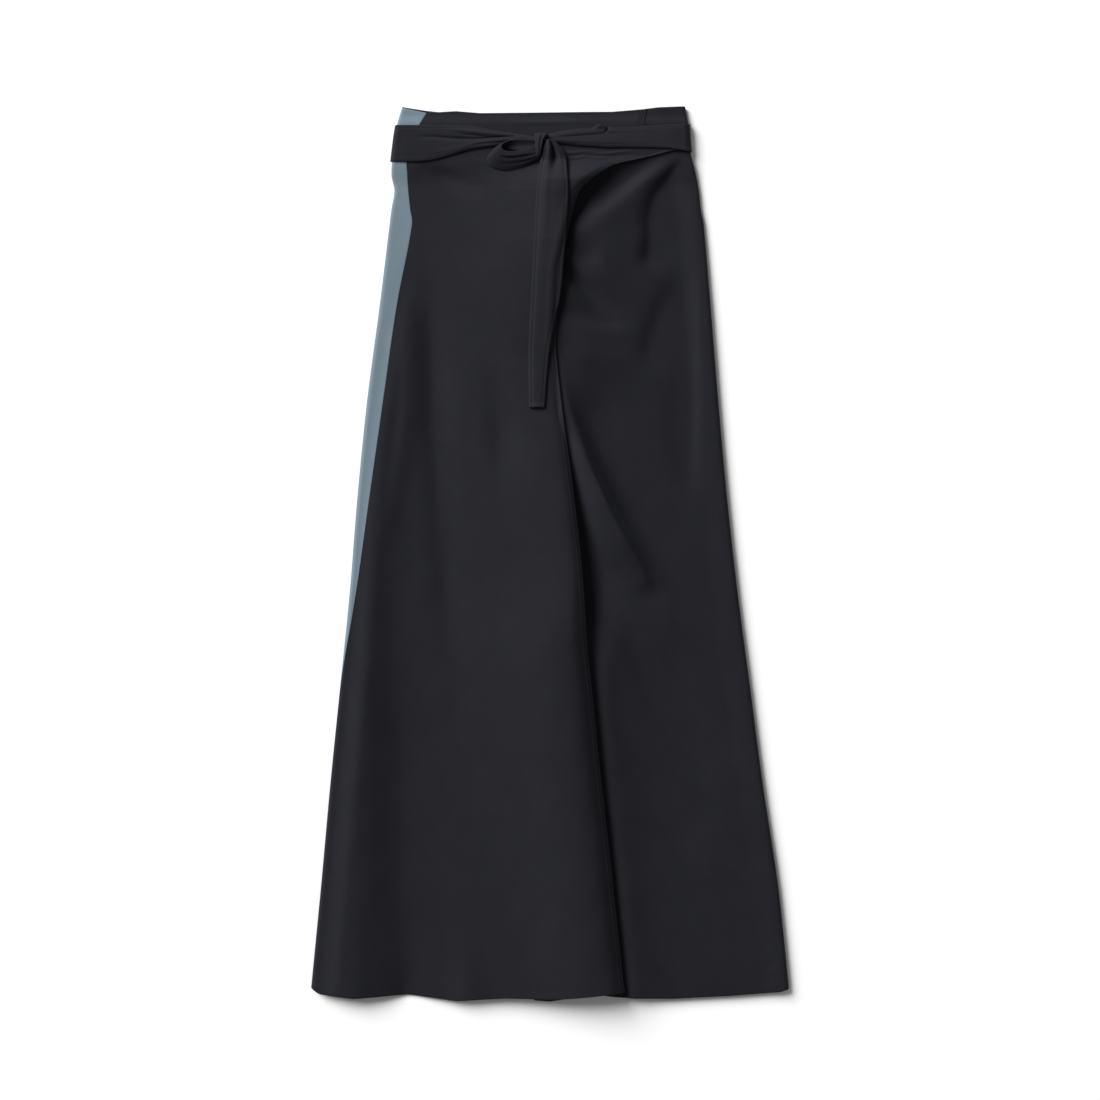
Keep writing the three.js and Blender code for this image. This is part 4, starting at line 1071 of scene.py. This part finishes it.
def stitch_tree():
    """Stitches along a line: one thin oval for each pitch of its length, turned along the line."""
    tree = bpy.data.node_groups.new("stitches", "GeometryNodeTree")
    tree.interface.new_socket("Line", in_out="INPUT", socket_type="NodeSocketGeometry")
    for label in ("Pitch", "Stitch Length", "Thread Half"):
        tree.interface.new_socket(label, in_out="INPUT", socket_type="NodeSocketFloat")
    tree.interface.new_socket("Thread", in_out="INPUT", socket_type="NodeSocketMaterial")
    tree.interface.new_socket("Stitches", in_out="OUTPUT", socket_type="NodeSocketGeometry")
    nodes, links = tree.nodes, tree.links
    inputs, outputs = nodes.new("NodeGroupInput"), nodes.new("NodeGroupOutput")
    to_curve = nodes.new("GeometryNodeMeshToCurve")
    points = nodes.new("GeometryNodeCurveToPoints")
    points.mode = "LENGTH"
    along = nodes.new("FunctionNodeAlignRotationToVector")
    along.axis = "Z"
    oval = nodes.new("GeometryNodeMeshUVSphere")
    oval.inputs["Segments"].default_value = 6
    oval.inputs["Rings"].default_value = 5
    oval.inputs["Radius"].default_value = 1
    half = nodes.new("ShaderNodeMath")
    half.operation = "MULTIPLY"
    half.inputs[1].default_value = 0.5
    size = nodes.new("ShaderNodeCombineXYZ")
    placed = nodes.new("GeometryNodeInstanceOnPoints")
    realize = nodes.new("GeometryNodeRealizeInstances")
    finish = nodes.new("GeometryNodeSetMaterial")
    links.new(inputs.outputs["Line"], to_curve.inputs["Mesh"])
    links.new(to_curve.outputs["Curve"], points.inputs["Curve"])
    links.new(inputs.outputs["Pitch"], points.inputs["Length"])
    links.new(points.outputs["Tangent"], along.inputs["Vector"])
    links.new(inputs.outputs["Stitch Length"], half.inputs[0])
    links.new(inputs.outputs["Thread Half"], size.inputs["X"])
    links.new(inputs.outputs["Thread Half"], size.inputs["Y"])
    links.new(half.outputs[0], size.inputs["Z"])
    links.new(points.outputs["Points"], placed.inputs["Points"])
    links.new(oval.outputs["Mesh"], placed.inputs["Instance"])
    links.new(along.outputs["Rotation"], placed.inputs["Rotation"])
    links.new(size.outputs["Vector"], placed.inputs["Scale"])
    links.new(placed.outputs["Instances"], realize.inputs["Geometry"])
    links.new(realize.outputs["Geometry"], finish.inputs["Geometry"])
    links.new(inputs.outputs["Thread"], finish.inputs["Material"])
    links.new(finish.outputs["Geometry"], outputs.inputs["Stitches"])
    return tree


def stitches(name, lines, thread):
    points, edges = [], []
    for line in lines:
        first = len(points)
        points.extend(((line - (*OUTLINE_CENTRE, 0)) * MM).tolist())
        edges.extend((k, k + 1) for k in range(first, len(points) - 1))
    line_mesh = bpy.data.meshes.new(name + "_line")
    line_mesh.from_pydata(points, edges, [])
    piece = bpy.data.objects.new(name, line_mesh)
    bpy.context.collection.objects.link(piece)
    modifier = piece.modifiers.new("stitches", "NODES")
    modifier.node_group = stitch_tree()
    sockets = {item.name: item.identifier for item in modifier.node_group.interface.items_tree
               if item.in_out == "INPUT"}
    modifier[sockets["Pitch"]] = STITCH_PITCH
    modifier[sockets["Stitch Length"]] = STITCH_LENGTH
    modifier[sockets["Thread Half"]] = THREAD_HALF
    modifier[sockets["Thread"]] = thread
    made = bpy.data.meshes.new_from_object(piece.evaluated_get(bpy.context.evaluated_depsgraph_get()))
    piece.modifiers.remove(modifier)
    piece.data = made
    return piece


thread = plain_material("dark thread", (0.0165, 0.0174, 0.0215, 1), 0.7)
sewing = stitches("tie_and_edge_stitches", stitch_lines, thread)
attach(sewing, "root")
